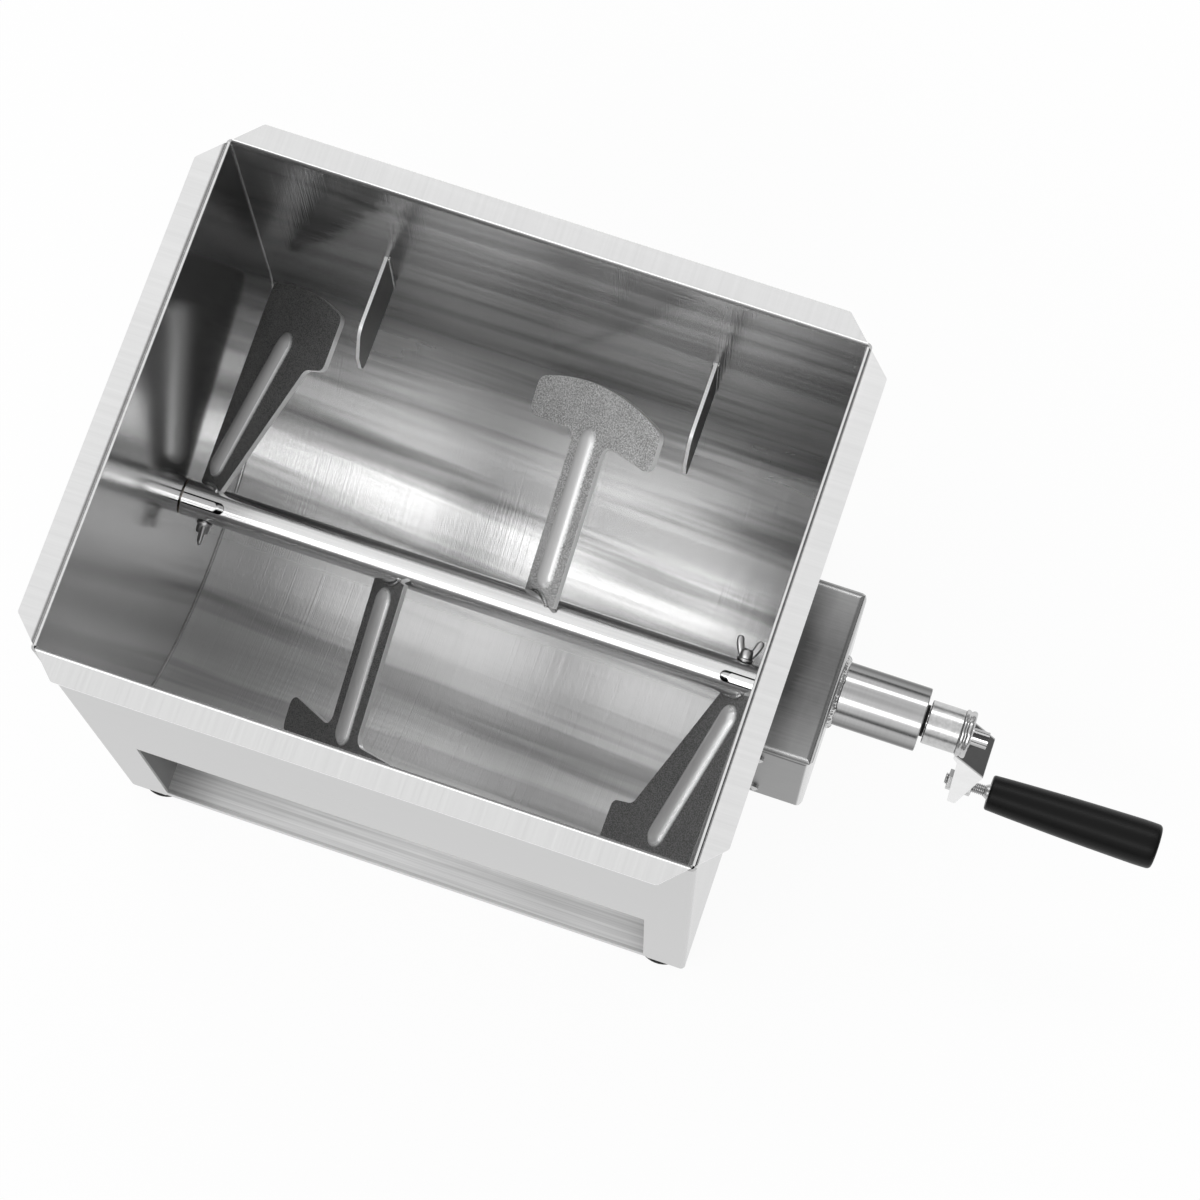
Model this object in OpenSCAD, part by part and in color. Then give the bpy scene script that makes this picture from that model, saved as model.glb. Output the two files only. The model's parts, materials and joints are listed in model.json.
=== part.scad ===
// Hand cranked meat mixer: a sheet steel tank on a stand, with four paddles on a geared shaft.
// Millimetres. X points to the crank, Y to the back wall, Z up. The table is z = 0.

/* [Tank] */
// Inside length of the tank between its end walls
tank_length = 310; // [300:1:330]
// Inside width of the tank, also the diameter of its round bottom
tank_width = 253; // [248:1:260]
// Height of the rim above the table
rim_height = 338; // [325:1:360]
// Height of the mixing shaft above the table
shaft_height = 154; // [151:1:158]
// Thickness of the tank and stand sheet
sheet = 1.2; // [1:0.1:1.5]
// Reach of the turned-out rim flange from the inside of the tank
flange_reach = 13.3; // [13:0.1:18]
// Outside radius of each sheet fold
fold_r = 2.4; // [2:0.1:2.8]
// Cut of the flange corners, rounded off by this radius
flange_corner_r = 2; // [1:0.1:3]

/* [Stand] */
// Height of the feet under the stand
foot_height = 10; // [8:0.5:12]
// Diameter of the rubber foot pad
foot_d = 30; // [28:0.5:34]
// Distance of the foot from the end wall of the tank
foot_inset_x = 13; // [12:0.5:14]
// Distance of the foot from the side wall of the tank
foot_inset_y = 12.5; // [11:0.5:16]
// Width of the post beside the window
post_width = 20.5; // [19:0.5:24]
// Height of the top edge of the window
window_top = 143; // [120:1:146]
// Height of the rail under the window
rail_height = 10.5; // [8:0.5:14]
// Depth of the turned-in floor flange
floor_flange = 32; // [24:1:40]
// Depth of the upright gussets behind the posts
gusset_depth = 24; // [18:1:26]

/* [Mixing shaft] */
// Outside diameter of the shaft tube
tube_d = 19; // [18:0.1:21]
// Diameter of the stub axles
axle_d = 12; // [10:0.1:13]
// Gap between a tube end and the end wall
tube_end_gap = 0.6; // [0.4:0.1:2]
// Length of the open slot in each tube end
slot_length = 22.5; // [20:0.5:26]
// Width of the open slot
slot_width = 5.5; // [5.1:0.1:6.5]
// Width of the driving keys
key_width = 4.9; // [3.8:0.1:5]
// Distance between the end of a key and the end of its slot
key_short = 4; // [3:0.5:6]
// Turn of the slots from upright towards the front
slot_tilt = 18; // [10:1:26]
// Distance of the wing screws from the end walls
wing_inset = 14; // [12.5:0.5:16]

/* [Paddles] */
// Gap between the paddles and the round bottom of the tank
paddle_gap = 8.2; // [6:0.1:12]
// Thickness of the paddle plates
paddle_t = 2.5; // [2:0.1:3]
// Angle of the paddle plates to the shaft
paddle_pitch = 50; // [46:1:60]
// Distance of the end paddles from the end walls
end_paddle_inset = 13; // [12:0.5:15]
// Distance between the two middle paddles along the shaft
t_spacing = 75; // [70:1:78]
// Shift of the middle paddles towards the crank
t_shift = -3.5; // [-6:0.5:2]
// Turn of the left end paddle above the back direction
end_phase = 10; // [0:1:20]
// Turn of the right middle paddle above the back direction
t_phase = 22; // [15:1:35]
// Gap along the shaft between the middle paddles and the baffles
t_gap = 4.1; // [3:0.1:8]
// Width of the crossbar of the middle paddles at its middle
t_bar = 26; // [22:0.5:32]
// Half width of the stem of the middle paddles
stem_half = 14.5; // [13:0.5:17]
// Width of the pressed ribs
rib_width = 14; // [12:0.5:15]
// Height of the pressed ribs
rib_height = 3.4; // [2.5:0.1:4]

/* [Baffles] */
// Distance of the baffles from the end walls
baffle_inset = 70; // [68:0.5:72]
// Thickness of the baffles
baffle_t = 2; // [1.5:0.1:3]
// Depth of the baffles from the back wall
baffle_depth = 47.5; // [40:0.5:52]
// Height of the lower edge of the baffles above the shaft
baffle_rise = 42; // [38:1:60]
// Height of the baffles
baffle_height = 45; // [38:1:50]

/* [Gearbox] */
// Tooth size, the pitch diameter divided by the number of teeth
gear_module = 1.5; // [1.45:0.01:1.55]
// Teeth of the pinion on the crank shaft
pinion_teeth = 14; // [14:1:15]
// Teeth of the drive gear on the mixing shaft
drive_teeth = 42; // [41:1:42]
// Width of the teeth
gear_width = 14; // [12:0.5:14.5]
// Play between the teeth on the pitch circle
gear_play = 0.16; // [0.12:0.01:0.3]
// Depth of the gearbox cover
cover_depth = 32.6; // [31.5:0.1:38]
// Half width of the gearbox cover
cover_half = 45; // [43:0.5:50]
// Top of the gearbox cover above the crank axis
cover_above = 27.5; // [25:0.5:34]
// Bottom of the gearbox cover below the mixing shaft
cover_below = 42; // [39:0.5:50]
// Thickness of the gearbox cover sheet
cover_t = 1.5; // [1.2:0.1:2]
// Rounding of the cover edges
cover_r = 4; // [3:0.1:5]

/* [Crank] */
// Outside diameter of the bearing housing
housing_d = 32; // [30:0.5:36]
// Length of the bearing housing outside the cover
housing_length = 44; // [40:0.5:56]
// Diameter of the crank shaft
crank_shaft_d = 12; // [10:0.1:13]
// Diameter of the crank hub
hub_d = 22; // [20:0.5:23]
// Length of the crank hub
hub_length = 16.6; // [14:0.1:22]
// Distance from the crank axis to the handle axis
crank_radius = 114.5; // [105:0.5:120]
// Width of the crank arm
arm_width = 21; // [20:0.5:24]
// Thickness of the crank arm sheet
arm_t = 2; // [1.5:0.1:2.3]
// Length of the handle grip
grip_length = 90.5; // [80:0.5:100]
// Diameter of the grip at its inner end
grip_d1 = 19; // [17:0.5:22]
// Diameter of the grip at its outer end
grip_d2 = 24; // [22:0.5:28]
// Diameter of the spindle inside the grip
spindle_d = 8; // [7:0.1:9]

/* [Hidden] */
$fn = 72;
run_gap = 0.05;
seat_gap = 0.02;
eps = 0.01;
half_l = tank_length / 2;
half_w = tank_width / 2;
wall_x = half_l + sheet;
side_x = half_l + 2 * sheet;
shell_y = half_w + 2 * sheet;
rim_x = half_l + flange_reach;
rim_y = half_w + flange_reach;
foot_x = half_l - foot_inset_x;
foot_y = half_w - foot_inset_y;
window_half = half_l - post_width;
floor_z = foot_height;
pad_h = 3.2;
cup_h = floor_z - pad_h;
cup_r0 = foot_d / 2 - 1.5;
foot_nut_af = 8;
foot_bolt_d = 5;
gusset_x = foot_x - foot_nut_af / 2 - 0.2;
tube_r = tube_d / 2;
tube_end = half_l - tube_end_gap;
bore_r = axle_d / 2 + 0.1;
slot_end = tube_end - slot_length;
key_end = slot_end + key_short;
key_depth = 2.5;
wing_x = half_l - wing_inset;
end_paddle_x = half_l - end_paddle_inset;
sweep_r = half_w - paddle_gap;
baffle_x = half_l - baffle_inset;
t_room = baffle_x - baffle_t / 2 - t_gap - abs(t_shift) - t_spacing / 2;
t_half = (t_room - paddle_t / 2 * sin(paddle_pitch)) / cos(paddle_pitch);
boss_d = 32;
boss_x = side_x + 7;
bush_d = axle_d + 6;
bush_flange = 1.5;
axle_end = boss_x + 3.6;
crank_height = shaft_height + gear_module * (pinion_teeth + drive_teeth) / 2;
handle_height = crank_height - crank_radius;
base_t = 3;
base_x = side_x + base_t;
pilot_d = crank_shaft_d - 2;
gear_x0 = base_x + 3.6;
gear_x1 = gear_x0 + gear_width;
cover_x = side_x + cover_depth;
cover_z0 = shaft_height - cover_below;
cover_z1 = crank_height + cover_above;
inner_x = cover_x - cover_t;
housing_x0 = inner_x - 4;
housing_x1 = cover_x + housing_length;
hub_x0 = housing_x1 + 2;
hub_x1 = hub_x0 + hub_length;
collar_x0 = hub_x1 + 0.4;
collar_x1 = collar_x0 + 5.5;
collar_d = hub_d + 2.5;
shaft_tip = collar_x1 + 8.5;
tip_d = crank_shaft_d - 3.4;
arm_x = collar_x0 + 1.5;
stud_d = 6;
grip_x0 = arm_x + 25;
grip_x1 = grip_x0 + grip_length;
mid_x = (grip_x1 - max(rim_x, axle_end)) / 2;
steel = [0.72, 0.73, 0.74];
satin = [0.55, 0.56, 0.57];
bright = [0.80, 0.81, 0.82];
bronze = [0.66, 0.50, 0.30];
black = [0.05, 0.05, 0.05];

// Points of an arc that rounds the corner b between a and c by the radius r
function toward(a, b) = (a - b) / norm(a - b);
function corner_arc(a, b, c, r, n) =
  let (
    u = toward(a, b),
    w = toward(c, b),
    half = acos(max(-1, min(1, u * w))) / 2,
    m = (u + w) / norm(u + w),
    ctr = b + m * (r / sin(half)),
    p0 = b + u * (r / tan(half)),
    p1 = b + w * (r / tan(half)),
    a0 = atan2(p0.y - ctr.y, p0.x - ctr.x),
    a1 = atan2(p1.y - ctr.y, p1.x - ctr.x),
    da = ((a1 - a0 + 540) % 360) - 180
  )
  [for (k = [0:n]) ctr + r * [cos(a0 + da * k / n), sin(a0 + da * k / n)]];

// Outline whose corners [x, y, r] are rounded where r is above zero
function rounded(p, n = 6) = [
  for (i = [0:len(p) - 1])
    let (
      b = [p[i].x, p[i].y],
      a = [p[(i + len(p) - 1) % len(p)].x, p[(i + len(p) - 1) % len(p)].y],
      c = [p[(i + 1) % len(p)].x, p[(i + 1) % len(p)].y]
    )
    each (p[i].z > 0 ? corner_arc(a, b, c, p[i].z, n) : [b])
];

// Involute gear outline
function polar(r, a) = [r * cos(a), r * sin(a)];
function involute(r, rb) = let (f = acos(min(1, rb / r))) tan(f) * 180 / PI - f;
function gear_outline(teeth, m, add, first) =
  let (
    rp = m * teeth / 2,
    rb = rp * cos(20),
    rf = rp - 1.25 * m,
    ra = rp + add * m,
    r0 = max(rb, rf),
    half = 90 / teeth - gear_play / rp * 45 / PI + involute(rp, rb),
    steps = 6
  )
  [
    for (i = [0:teeth - 1])
      let (c = first + i * 360 / teeth)
      each concat(
        rf < rb ? [polar(rf, c - half)] : [],
        [for (k = [0:steps]) let (r = r0 + (ra - r0) * k / steps) polar(r, c - half + involute(r, rb))],
        [for (k = [steps:-1:0]) let (r = r0 + (ra - r0) * k / steps) polar(r, c + half - involute(r, rb))],
        rf < rb ? [polar(rf, c + half)] : []
      )
  ];

// Shapes along the X axis
module facing_x() {
  rotate([90, 0, 90]) children();
}

module facing_y() {
  rotate([90, 0, 0]) children();
}

module rod(x0, x1, d) {
  translate([x0, 0, 0]) rotate([0, 90, 0]) cylinder(h = x1 - x0, d = d);
}

module tube(x0, x1, d, hole) {
  difference() {
    rod(x0, x1, d);
    rod(x0 - 1, x1 + 1, hole);
  }
}

module slab(x0, x1, y0, y1, z0, z1) {
  translate([x0, y0, z0]) cube([x1 - x0, y1 - y0, z1 - z0]);
}

// Quarter of a folded sheet with its centre at the origin, in the first quadrant
module quarter_fold() {
  intersection() {
    difference() {
      circle(r = fold_r);
      circle(r = fold_r - sheet);
    }
    square(fold_r + 1);
  }
}

module on_shaft() {
  translate([0, 0, shaft_height]) children();
}

module on_crank() {
  translate([0, 0, crank_height]) children();
}

// Rim flange along X, from the fold outwards, with its ends cut and rounded
module flange_plan(start, reach, corner) {
  polygon(rounded([
    [-corner, start, 0],
    [corner, start, 0],
    [corner + start - reach, reach, flange_corner_r],
    [-corner - start + reach, reach, flange_corner_r]
  ]));
}

// Plan that cuts the ends of a rim fold on the same slanted line as its flange
module fold_plan(start, corner) {
  translate([0, 0, rim_height - fold_r])
    linear_extrude(fold_r + 1)
    polygon([
      [-corner - fold_r, start - fold_r],
      [corner + fold_r, start - fold_r],
      [corner, start],
      [-corner, start]
    ]);
}

module trough_side() {
  slab(-half_l, half_l, half_w, half_w + sheet, shaft_height, rim_height - fold_r);
  intersection() {
    translate([-half_l, half_w + fold_r, rim_height - fold_r])
      facing_x()
      linear_extrude(tank_length)
      mirror([1, 0])
      quarter_fold();
    fold_plan(half_w + fold_r, half_l + sheet - fold_r);
  }
  translate([0, 0, rim_height - sheet])
    linear_extrude(sheet)
    flange_plan(half_w + fold_r, rim_y, half_l + sheet - fold_r);
}

module trough() {
  color(steel)
    translate([-mid_x, 0, 0]) {
      trough_side();
      mirror([0, 1, 0]) trough_side();
      on_shaft()
        difference() {
          rod(-half_l, half_l, tank_width + 2 * sheet);
          rod(-half_l - 1, half_l + 1, tank_width);
          slab(-half_l - 1, half_l + 1, -half_w - 5, half_w + 5, 0, half_w + 5);
        }
    }
}

// Inner end wall with a round bottom, whose top edge shows beside the rim fold
module tank_wall(hole) {
  difference() {
    union() {
      intersection() {
        on_shaft() rod(half_l, wall_x, tank_width + 2 * sheet);
        slab(half_l - 1, wall_x + 1, -half_w, half_w, 0, shaft_height + 1);
      }
      slab(half_l, wall_x, -half_w, half_w, shaft_height, rim_height - 0.3);
    }
    on_shaft() rod(half_l - 1, wall_x + 1, hole);
  }
}

module left_tank_wall() {
  color(steel)
    translate([-mid_x, 0, 0])
    mirror([1, 0, 0])
    tank_wall(bush_d + 2 * seat_gap);
}

module right_tank_wall() {
  color(steel)
    translate([-mid_x, 0, 0])
    tank_wall(bush_d + 2 * seat_gap);
}

// Outer end plate with the rim flange above and the floor flange below
module side_plate() {
  difference() {
    union() {
      slab(wall_x, side_x, -half_w, half_w, floor_z + fold_r, rim_height - fold_r);
      intersection() {
        translate([wall_x + fold_r, half_w, rim_height - fold_r])
          facing_y()
          linear_extrude(tank_width)
          mirror([1, 0])
          quarter_fold();
        mirror([1, -1, 0]) fold_plan(wall_x + fold_r, half_w - fold_r);
      }
      translate([0, 0, rim_height - sheet])
        linear_extrude(sheet)
        mirror([1, -1])
        flange_plan(wall_x + fold_r, rim_x, half_w - fold_r);
      translate([side_x - fold_r, half_w, floor_z + fold_r])
        facing_y()
        linear_extrude(tank_width)
        mirror([0, 1])
        quarter_fold();
      slab(gusset_x - sheet, side_x - fold_r, -half_w, half_w, floor_z, floor_z + sheet);
    }
    on_shaft() rod(half_l, side_x + 1, bush_d + 2 * seat_gap);
    for (s = [-1, 1])
      translate([foot_x, s * foot_y, floor_z - 1])
        cylinder(h = sheet + 2, d = foot_bolt_d + 2 * seat_gap);
  }
}

module left_side_plate() {
  color(steel)
    translate([-mid_x, 0, 0])
    mirror([1, 0, 0])
    side_plate();
}

module right_side_plate() {
  color(steel)
    translate([-mid_x, 0, 0])
    side_plate();
}

// Window panel of the stand, on the back side
module window_panel() {
  difference() {
    slab(
      -side_x + fold_r, side_x - fold_r, half_w + sheet, shell_y,
      floor_z, rim_height - fold_r - 0.1
    );
    slab(
      -window_half, window_half, half_w, shell_y + 1,
      floor_z + rail_height, window_top
    );
    slab(
      -gusset_x + sheet, gusset_x - sheet, half_w, shell_y + 1,
      floor_z - 1, floor_z + fold_r
    );
  }
  for (s = [-1, 1])
    translate([s * (side_x - fold_r), shell_y - fold_r, floor_z])
      linear_extrude(rim_height - fold_r - 0.1 - floor_z)
      mirror([s < 0 ? 1 : 0, 0])
      quarter_fold();
  translate([-gusset_x + sheet, shell_y - fold_r, floor_z + fold_r])
    facing_x()
    linear_extrude(2 * (gusset_x - sheet))
    mirror([0, 1])
    quarter_fold();
  slab(
    -gusset_x + sheet, gusset_x - sheet, shell_y - floor_flange, shell_y - fold_r,
    floor_z, floor_z + sheet
  );
}

module back_panel() {
  color(steel)
    translate([-mid_x, 0, 0])
    window_panel();
}

module front_panel() {
  color(steel)
    translate([-mid_x, 0, 0])
    mirror([0, 1, 0])
    window_panel();
}

module post_gussets() {
  color(satin)
    translate([-mid_x, 0, 0])
    for (sx = [-1, 1])
      for (sy = [-1, 1])
        scale([sx, sy, 1])
          difference() {
            slab(
              gusset_x - sheet, gusset_x, half_w + sheet - gusset_depth, half_w + sheet,
              floor_z + sheet, window_top - 12
            );
            on_shaft() rod(0, half_l, tank_width + 2 * sheet + 0.8);
          }
}

// Plate welded to the back wall, reaching between the paths of two paddles
module baffle(x) {
  z0 = shaft_height + baffle_rise;
  translate([x - baffle_t / 2, 0, 0])
    facing_x()
    linear_extrude(baffle_t)
    polygon(rounded([
      [half_w, z0, 0],
      [half_w, z0 + baffle_height, 0],
      [half_w - baffle_depth + 7, z0 + baffle_height, 8],
      [half_w - baffle_depth, z0 + baffle_height / 2, 8],
      [half_w - baffle_depth, z0, 7]
    ]));
}

module left_baffle() {
  color(steel) translate([-mid_x, 0, 0]) baffle(-baffle_x);
}

module right_baffle() {
  color(steel) translate([-mid_x, 0, 0]) baffle(baffle_x);
}

// Feet
module at_feet() {
  for (sx = [-1, 1])
    for (sy = [-1, 1])
      translate([sx * foot_x, sy * foot_y, 0]) children();
}

module foot_pads() {
  color(black)
    translate([-mid_x, 0, 0])
    at_feet()
    rotate_extrude()
    difference() {
      union() {
        square([foot_d / 2 - 1.2, pad_h]);
        square([foot_d / 2, pad_h - 1.2]);
        translate([foot_d / 2 - 1.2, pad_h - 1.2]) circle(r = 1.2);
      }
      translate([-1, 1]) square([7 + 1, pad_h]);
    }
}

module foot_cups() {
  color(bright)
    translate([-mid_x, 0, 0])
    at_feet()
    translate([0, 0, pad_h])
    rotate_extrude()
    difference() {
      union() {
        square([cup_r0 - cup_h / 2, cup_h]);
        square([cup_r0, cup_h / 2]);
        translate([cup_r0 - cup_h / 2, cup_h / 2]) circle(r = cup_h / 2 - eps);
      }
      translate([-1, -1]) square([foot_bolt_d / 2 + seat_gap + 1, floor_z]);
    }
}

module foot_bolts() {
  color(bright)
    translate([-mid_x, 0, 0])
    at_feet() {
      translate([0, 0, 1.1]) cylinder(h = pad_h - 1.1, r = 6.5);
      translate([0, 0, pad_h - eps]) cylinder(h = floor_z + 8 - pad_h, d = foot_bolt_d);
    }
}

module foot_nuts() {
  color(bright)
    translate([-mid_x, 0, 0])
    at_feet()
    translate([0, 0, floor_z + sheet])
    difference() {
      rotate([0, 0, 30]) cylinder(h = 4, d = foot_nut_af / cos(30), $fn = 6);
      translate([0, 0, -1]) cylinder(h = 6, d = foot_bolt_d + 2 * seat_gap);
    }
}

// Left bearing, outside the end plate
module left_boss() {
  color(bright)
    translate([-mid_x, 0, 0])
    on_shaft()
    tube(-boss_x, -side_x, boss_d, bush_d + 2 * seat_gap);
}

module left_bush() {
  color(bronze)
    translate([-mid_x, 0, 0])
    on_shaft()
    difference() {
      union() {
        rod(-boss_x - eps, -half_l - 0.2, bush_d);
        rod(-boss_x - bush_flange, -boss_x, bush_d + 6);
      }
      rod(-boss_x - 5, -half_l + 1, axle_d + 2 * run_gap);
    }
}

// Gearbox
module gearbox_base() {
  inset = cover_t + 0.3;
  color(satin)
    translate([-mid_x, 0, 0])
    difference() {
      union() {
        slab(
          side_x, base_x, -cover_half + inset, cover_half - inset,
          cover_z0 + inset, cover_z1 - inset
        );
        on_shaft() rod(base_x - eps, base_x + 2.1, bush_d + 8);
        on_crank() rod(base_x - eps, base_x + 2.1, pilot_d + 7);
        for (s = [-1, 1])
          for (z = [cover_z0 + 20, cover_z1 - 18.5])
            slab(
              base_x - eps, base_x + 6, min(s * (cover_half - inset - 5), s * (cover_half - inset)),
              max(s * (cover_half - inset - 5), s * (cover_half - inset)), z - 5, z + 5
            );
      }
      on_shaft() rod(side_x - 1, base_x + 5, bush_d + 2 * seat_gap);
      on_crank() rod(side_x - 1, base_x + 5, pilot_d + 4 + 2 * seat_gap);
      for (z = [cover_z0 + 20, cover_z1 - 18.5])
        translate([base_x + 2.6, cover_half + 1, z])
          facing_y()
          cylinder(h = 2 * cover_half + 2, d = 4 + 2 * seat_gap);
    }
}

// Box rounded on all its outer edges by three crossing outlines
module rounded_square(x0, y0, x1, y1, r) {
  translate([x0 + r, y0]) square([x1 - x0 - 2 * r, y1 - y0]);
  translate([x0, y0 + r]) square([x1 - x0, y1 - y0 - 2 * r]);
  for (x = [x0 + r, x1 - r])
    for (y = [y0 + r, y1 - r])
      translate([x, y]) circle(r = r);
}

module soft_box(x1, half_y, z0, z1, r) {
  intersection() {
    translate([side_x, 0, 0])
      facing_x()
      linear_extrude(x1 - side_x)
      rounded_square(-half_y, z0, half_y, z1, r);
    translate([0, 0, z0])
      linear_extrude(z1 - z0)
      rounded_square(side_x - 20, -half_y, x1, half_y, r);
    translate([0, half_y, 0])
      facing_y()
      linear_extrude(2 * half_y)
      rounded_square(side_x - 20, z0, x1, z1, r);
  }
}

module gearbox_cover() {
  color(steel)
    translate([-mid_x, 0, 0])
    difference() {
      soft_box(cover_x, cover_half, cover_z0, cover_z1, cover_r);
      slab(
        side_x - 1, inner_x, -cover_half + cover_t, cover_half - cover_t,
        cover_z0 + cover_t, cover_z1 - cover_t
      );
      on_crank() rod(side_x, cover_x + 1, housing_d + 2 * seat_gap);
      for (z = [cover_z0 + 20, cover_z1 - 18.5])
        translate([base_x + 2.6, cover_half + 1, z])
          facing_y()
          cylinder(h = 2 * cover_half + 2, d = 4.3);
    }
}

module cover_screws() {
  color(bright)
    translate([-mid_x, 0, 0])
    for (s = [-1, 1])
      for (z = [cover_z0 + 20, cover_z1 - 18.5])
        translate([base_x + 2.6, 0, z])
          scale([1, s, 1])
          translate([0, cover_half, 0])
          rotate([-90, 0, 0])
          difference() {
            union() {
              translate([0, 0, -6.5]) cylinder(h = 6.5 + eps, d = 4);
              cylinder(h = 1.4, d = 8);
              translate([0, 0, 1.4 - eps]) cylinder(h = 1, d1 = 8, d2 = 5.4);
            }
            translate([0, 0, 1]) cylinder(h = 2, d = 2.5 / cos(30), $fn = 6);
          }
}

module output_bush() {
  color(bronze)
    translate([-mid_x, 0, 0])
    on_shaft()
    tube(half_l + 0.2, base_x + 2.1, bush_d, axle_d + 2 * run_gap);
}

module pilot_bush() {
  color(bronze)
    translate([-mid_x, 0, 0])
    on_crank()
    tube(side_x + 0.2, base_x + 2.1, pilot_d + 4, pilot_d + 2 * run_gap);
}

module bearing_housing() {
  color(bright)
    translate([-mid_x, 0, 0])
    on_crank()
    tube(housing_x0, housing_x1, housing_d, crank_shaft_d + 10 + 2 * seat_gap);
}

module housing_collar() {
  color(bright)
    translate([-mid_x, 0, 0])
    on_crank()
    difference() {
      translate([cover_x, 0, 0])
        rotate([0, 90, 0])
        rotate_extrude()
        union() {
          square([housing_d / 2 + 1, 2.4]);
          square([housing_d / 2 + 2.4, 1]);
          translate([housing_d / 2 + 1, 1]) circle(r = 1.4);
        }
      slab(cover_x - 3, cover_x, -30, 30, -30, 30);
      rod(cover_x - 1, cover_x + 5, housing_d + 2 * seat_gap);
    }
}

module inner_crank_bush() {
  color(black)
    translate([-mid_x, 0, 0])
    on_crank()
    tube(housing_x0, housing_x0 + 15, crank_shaft_d + 10, crank_shaft_d + 2 * run_gap);
}

module outer_crank_bush() {
  color(black)
    translate([-mid_x, 0, 0])
    on_crank()
    difference() {
      union() {
        rod(housing_x1 - 15, housing_x1 + eps, crank_shaft_d + 10);
        rod(housing_x1, hub_x0 - 0.3, crank_shaft_d + 4);
      }
      rod(housing_x1 - 20, housing_x1 + 5, crank_shaft_d + 2 * run_gap);
    }
}

// Mixing shaft
module shaft_slot(d, end) {
  translate([end + d / 2, 0, 0]) cylinder(h = tube_d, d = d);
  translate([end + d / 2, -d / 2, 0]) cube([slot_length + 5, d, tube_d]);
}

module mixing_shaft() {
  color(bright)
    translate([-mid_x, 0, 0])
    on_shaft()
    difference() {
      rod(-tube_end, tube_end, tube_d);
      rod(-tube_end - 1, tube_end + 1, 2 * bore_r);
      rotate([slot_tilt, 0, 0])
        for (s = [-1, 1])
          scale([s, 1, 1]) shaft_slot(slot_width, slot_end);
      rotate([slot_tilt, 0, 0])
        for (s = [-1, 1])
          translate([s * wing_x, 0, 0])
            rotate([-s * 90, 0, 0])
            cylinder(h = tube_d, d = 5 + 2 * seat_gap);
    }
}

// Upper edge of a paddle plate, along the sweep circle
function sweep_u(v) = sqrt(sweep_r * sweep_r - pow(v * sin(paddle_pitch), 2));
function sweep_edge(v0, v1, n) = [
  for (k = [1:n - 1])
    let (v = v0 + (v1 - v0) * k / n)
    [v, sweep_u(v), 0]
];

// Pressed rib as a capsule below the plate surface, from a to b
module rib_body(a, b, r) {
  run = norm(b - a);
  translate([a.x, a.y, paddle_t / 2 + rib_height - rib_r])
    rotate([0, 0, atan2(b.y - a.y, b.x - a.x)])
    rotate([0, 90, 0]) {
      cylinder(h = run, r = r);
      sphere(r = r);
      translate([0, 0, run]) sphere(r = r);
    }
}

rib_r = (rib_width * rib_width / 4 + rib_height * rib_height) / (2 * rib_height);

module stamped_plate(outline, a, b, pitch) {
  difference() {
    union() {
      translate([0, 0, -paddle_t / 2])
        linear_extrude(paddle_t)
        polygon(rounded(outline));
      intersection() {
        rib_body(a, b, rib_r);
        translate([-90, -10, 0]) cube([180, 150, 20]);
      }
    }
    rib_body(a, b, rib_r - 1.4);
    rotate([0, pitch, 0]) rod(-150, 150, tube_d + 2 * seat_gap);
  }
}

module t_plate(pitch) {
  heel = sweep_r - t_bar;
  stamped_plate(
    concat(
      [[t_half, heel - 3.2, 6], [t_half, sweep_u(t_half), 6]],
      sweep_edge(t_half, -t_half, 14),
      [
        [-t_half, sweep_u(t_half), 6],
        [-t_half, heel - 3.2, 6],
        [-stem_half, heel, 6],
        [-stem_half, 6, 0],
        [stem_half, 6, 0],
        [stem_half, heel, 6]
      ]
    ),
    [0, 19], [0, sweep_r - 28], pitch
  );
}

module end_plate(pitch) {
  k = sweep_r / 118.3;
  stamped_plate(
    concat(
      [[68.5, 77.4 * k, 4], [70, sweep_u(70), 5]],
      sweep_edge(70, -6.9, 10),
      [
        [-6.9, sweep_u(6.9), 4],
        [-8.2, 104 * k, 0],
        [-12.6, 10, 0],
        [-12.6, 7.5, 0],
        [9.7, 7.5, 0],
        [51.5, 76.3 * k, 6]
      ]
    ),
    [-1.4, 20.5], [24, 87 * k], pitch
  );
}

module paddle_at(x, phase, pitch) {
  on_shaft()
    translate([x, 0, 0])
    rotate([phase, 0, 0])
    rotate([0, -pitch, 0])
    children();
}

module left_end_paddle() {
  color(satin)
    translate([-mid_x, 0, 0])
    paddle_at(-end_paddle_x, end_phase, paddle_pitch)
    end_plate(paddle_pitch);
}

module right_end_paddle() {
  color(satin)
    translate([-mid_x, 0, 0])
    paddle_at(end_paddle_x, end_phase + 180, 180 - paddle_pitch)
    end_plate(180 - paddle_pitch);
}

module right_t_paddle() {
  color(satin)
    translate([-mid_x, 0, 0])
    paddle_at(t_spacing / 2 + t_shift, t_phase, paddle_pitch)
    t_plate(paddle_pitch);
}

module left_t_paddle() {
  color(satin)
    translate([-mid_x, 0, 0])
    paddle_at(-t_spacing / 2 + t_shift, t_phase + 180, 180 - paddle_pitch)
    t_plate(180 - paddle_pitch);
}

// Wing screw standing on the tube, its wings along X
module wing_screw() {
  depth = tube_r - axle_d / 2 + 1.1;
  translate([0, 0, tube_r]) {
    translate([0, 0, -depth]) cylinder(h = depth + 1, d = 5);
    difference() {
      union() {
        translate([0, 0, 0.4]) cylinder(h = 6, d = 7);
        for (s = [-1, 1])
          translate([0, 1, 0])
            facing_y()
            linear_extrude(2)
            scale([s, 1])
            polygon(rounded([
              [2, 2.6, 0],
              [3.6, 2.6, 0.8],
              [6.85, 7.6, 2],
              [6.4, 11.7, 1.5],
              [3.6, 11.2, 1.3],
              [3, 6.2, 0.8],
              [2, 6, 0]
            ], 4));
      }
      translate([0, 0, 5]) cylinder(h = 3, d = 4.4);
    }
  }
}

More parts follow.
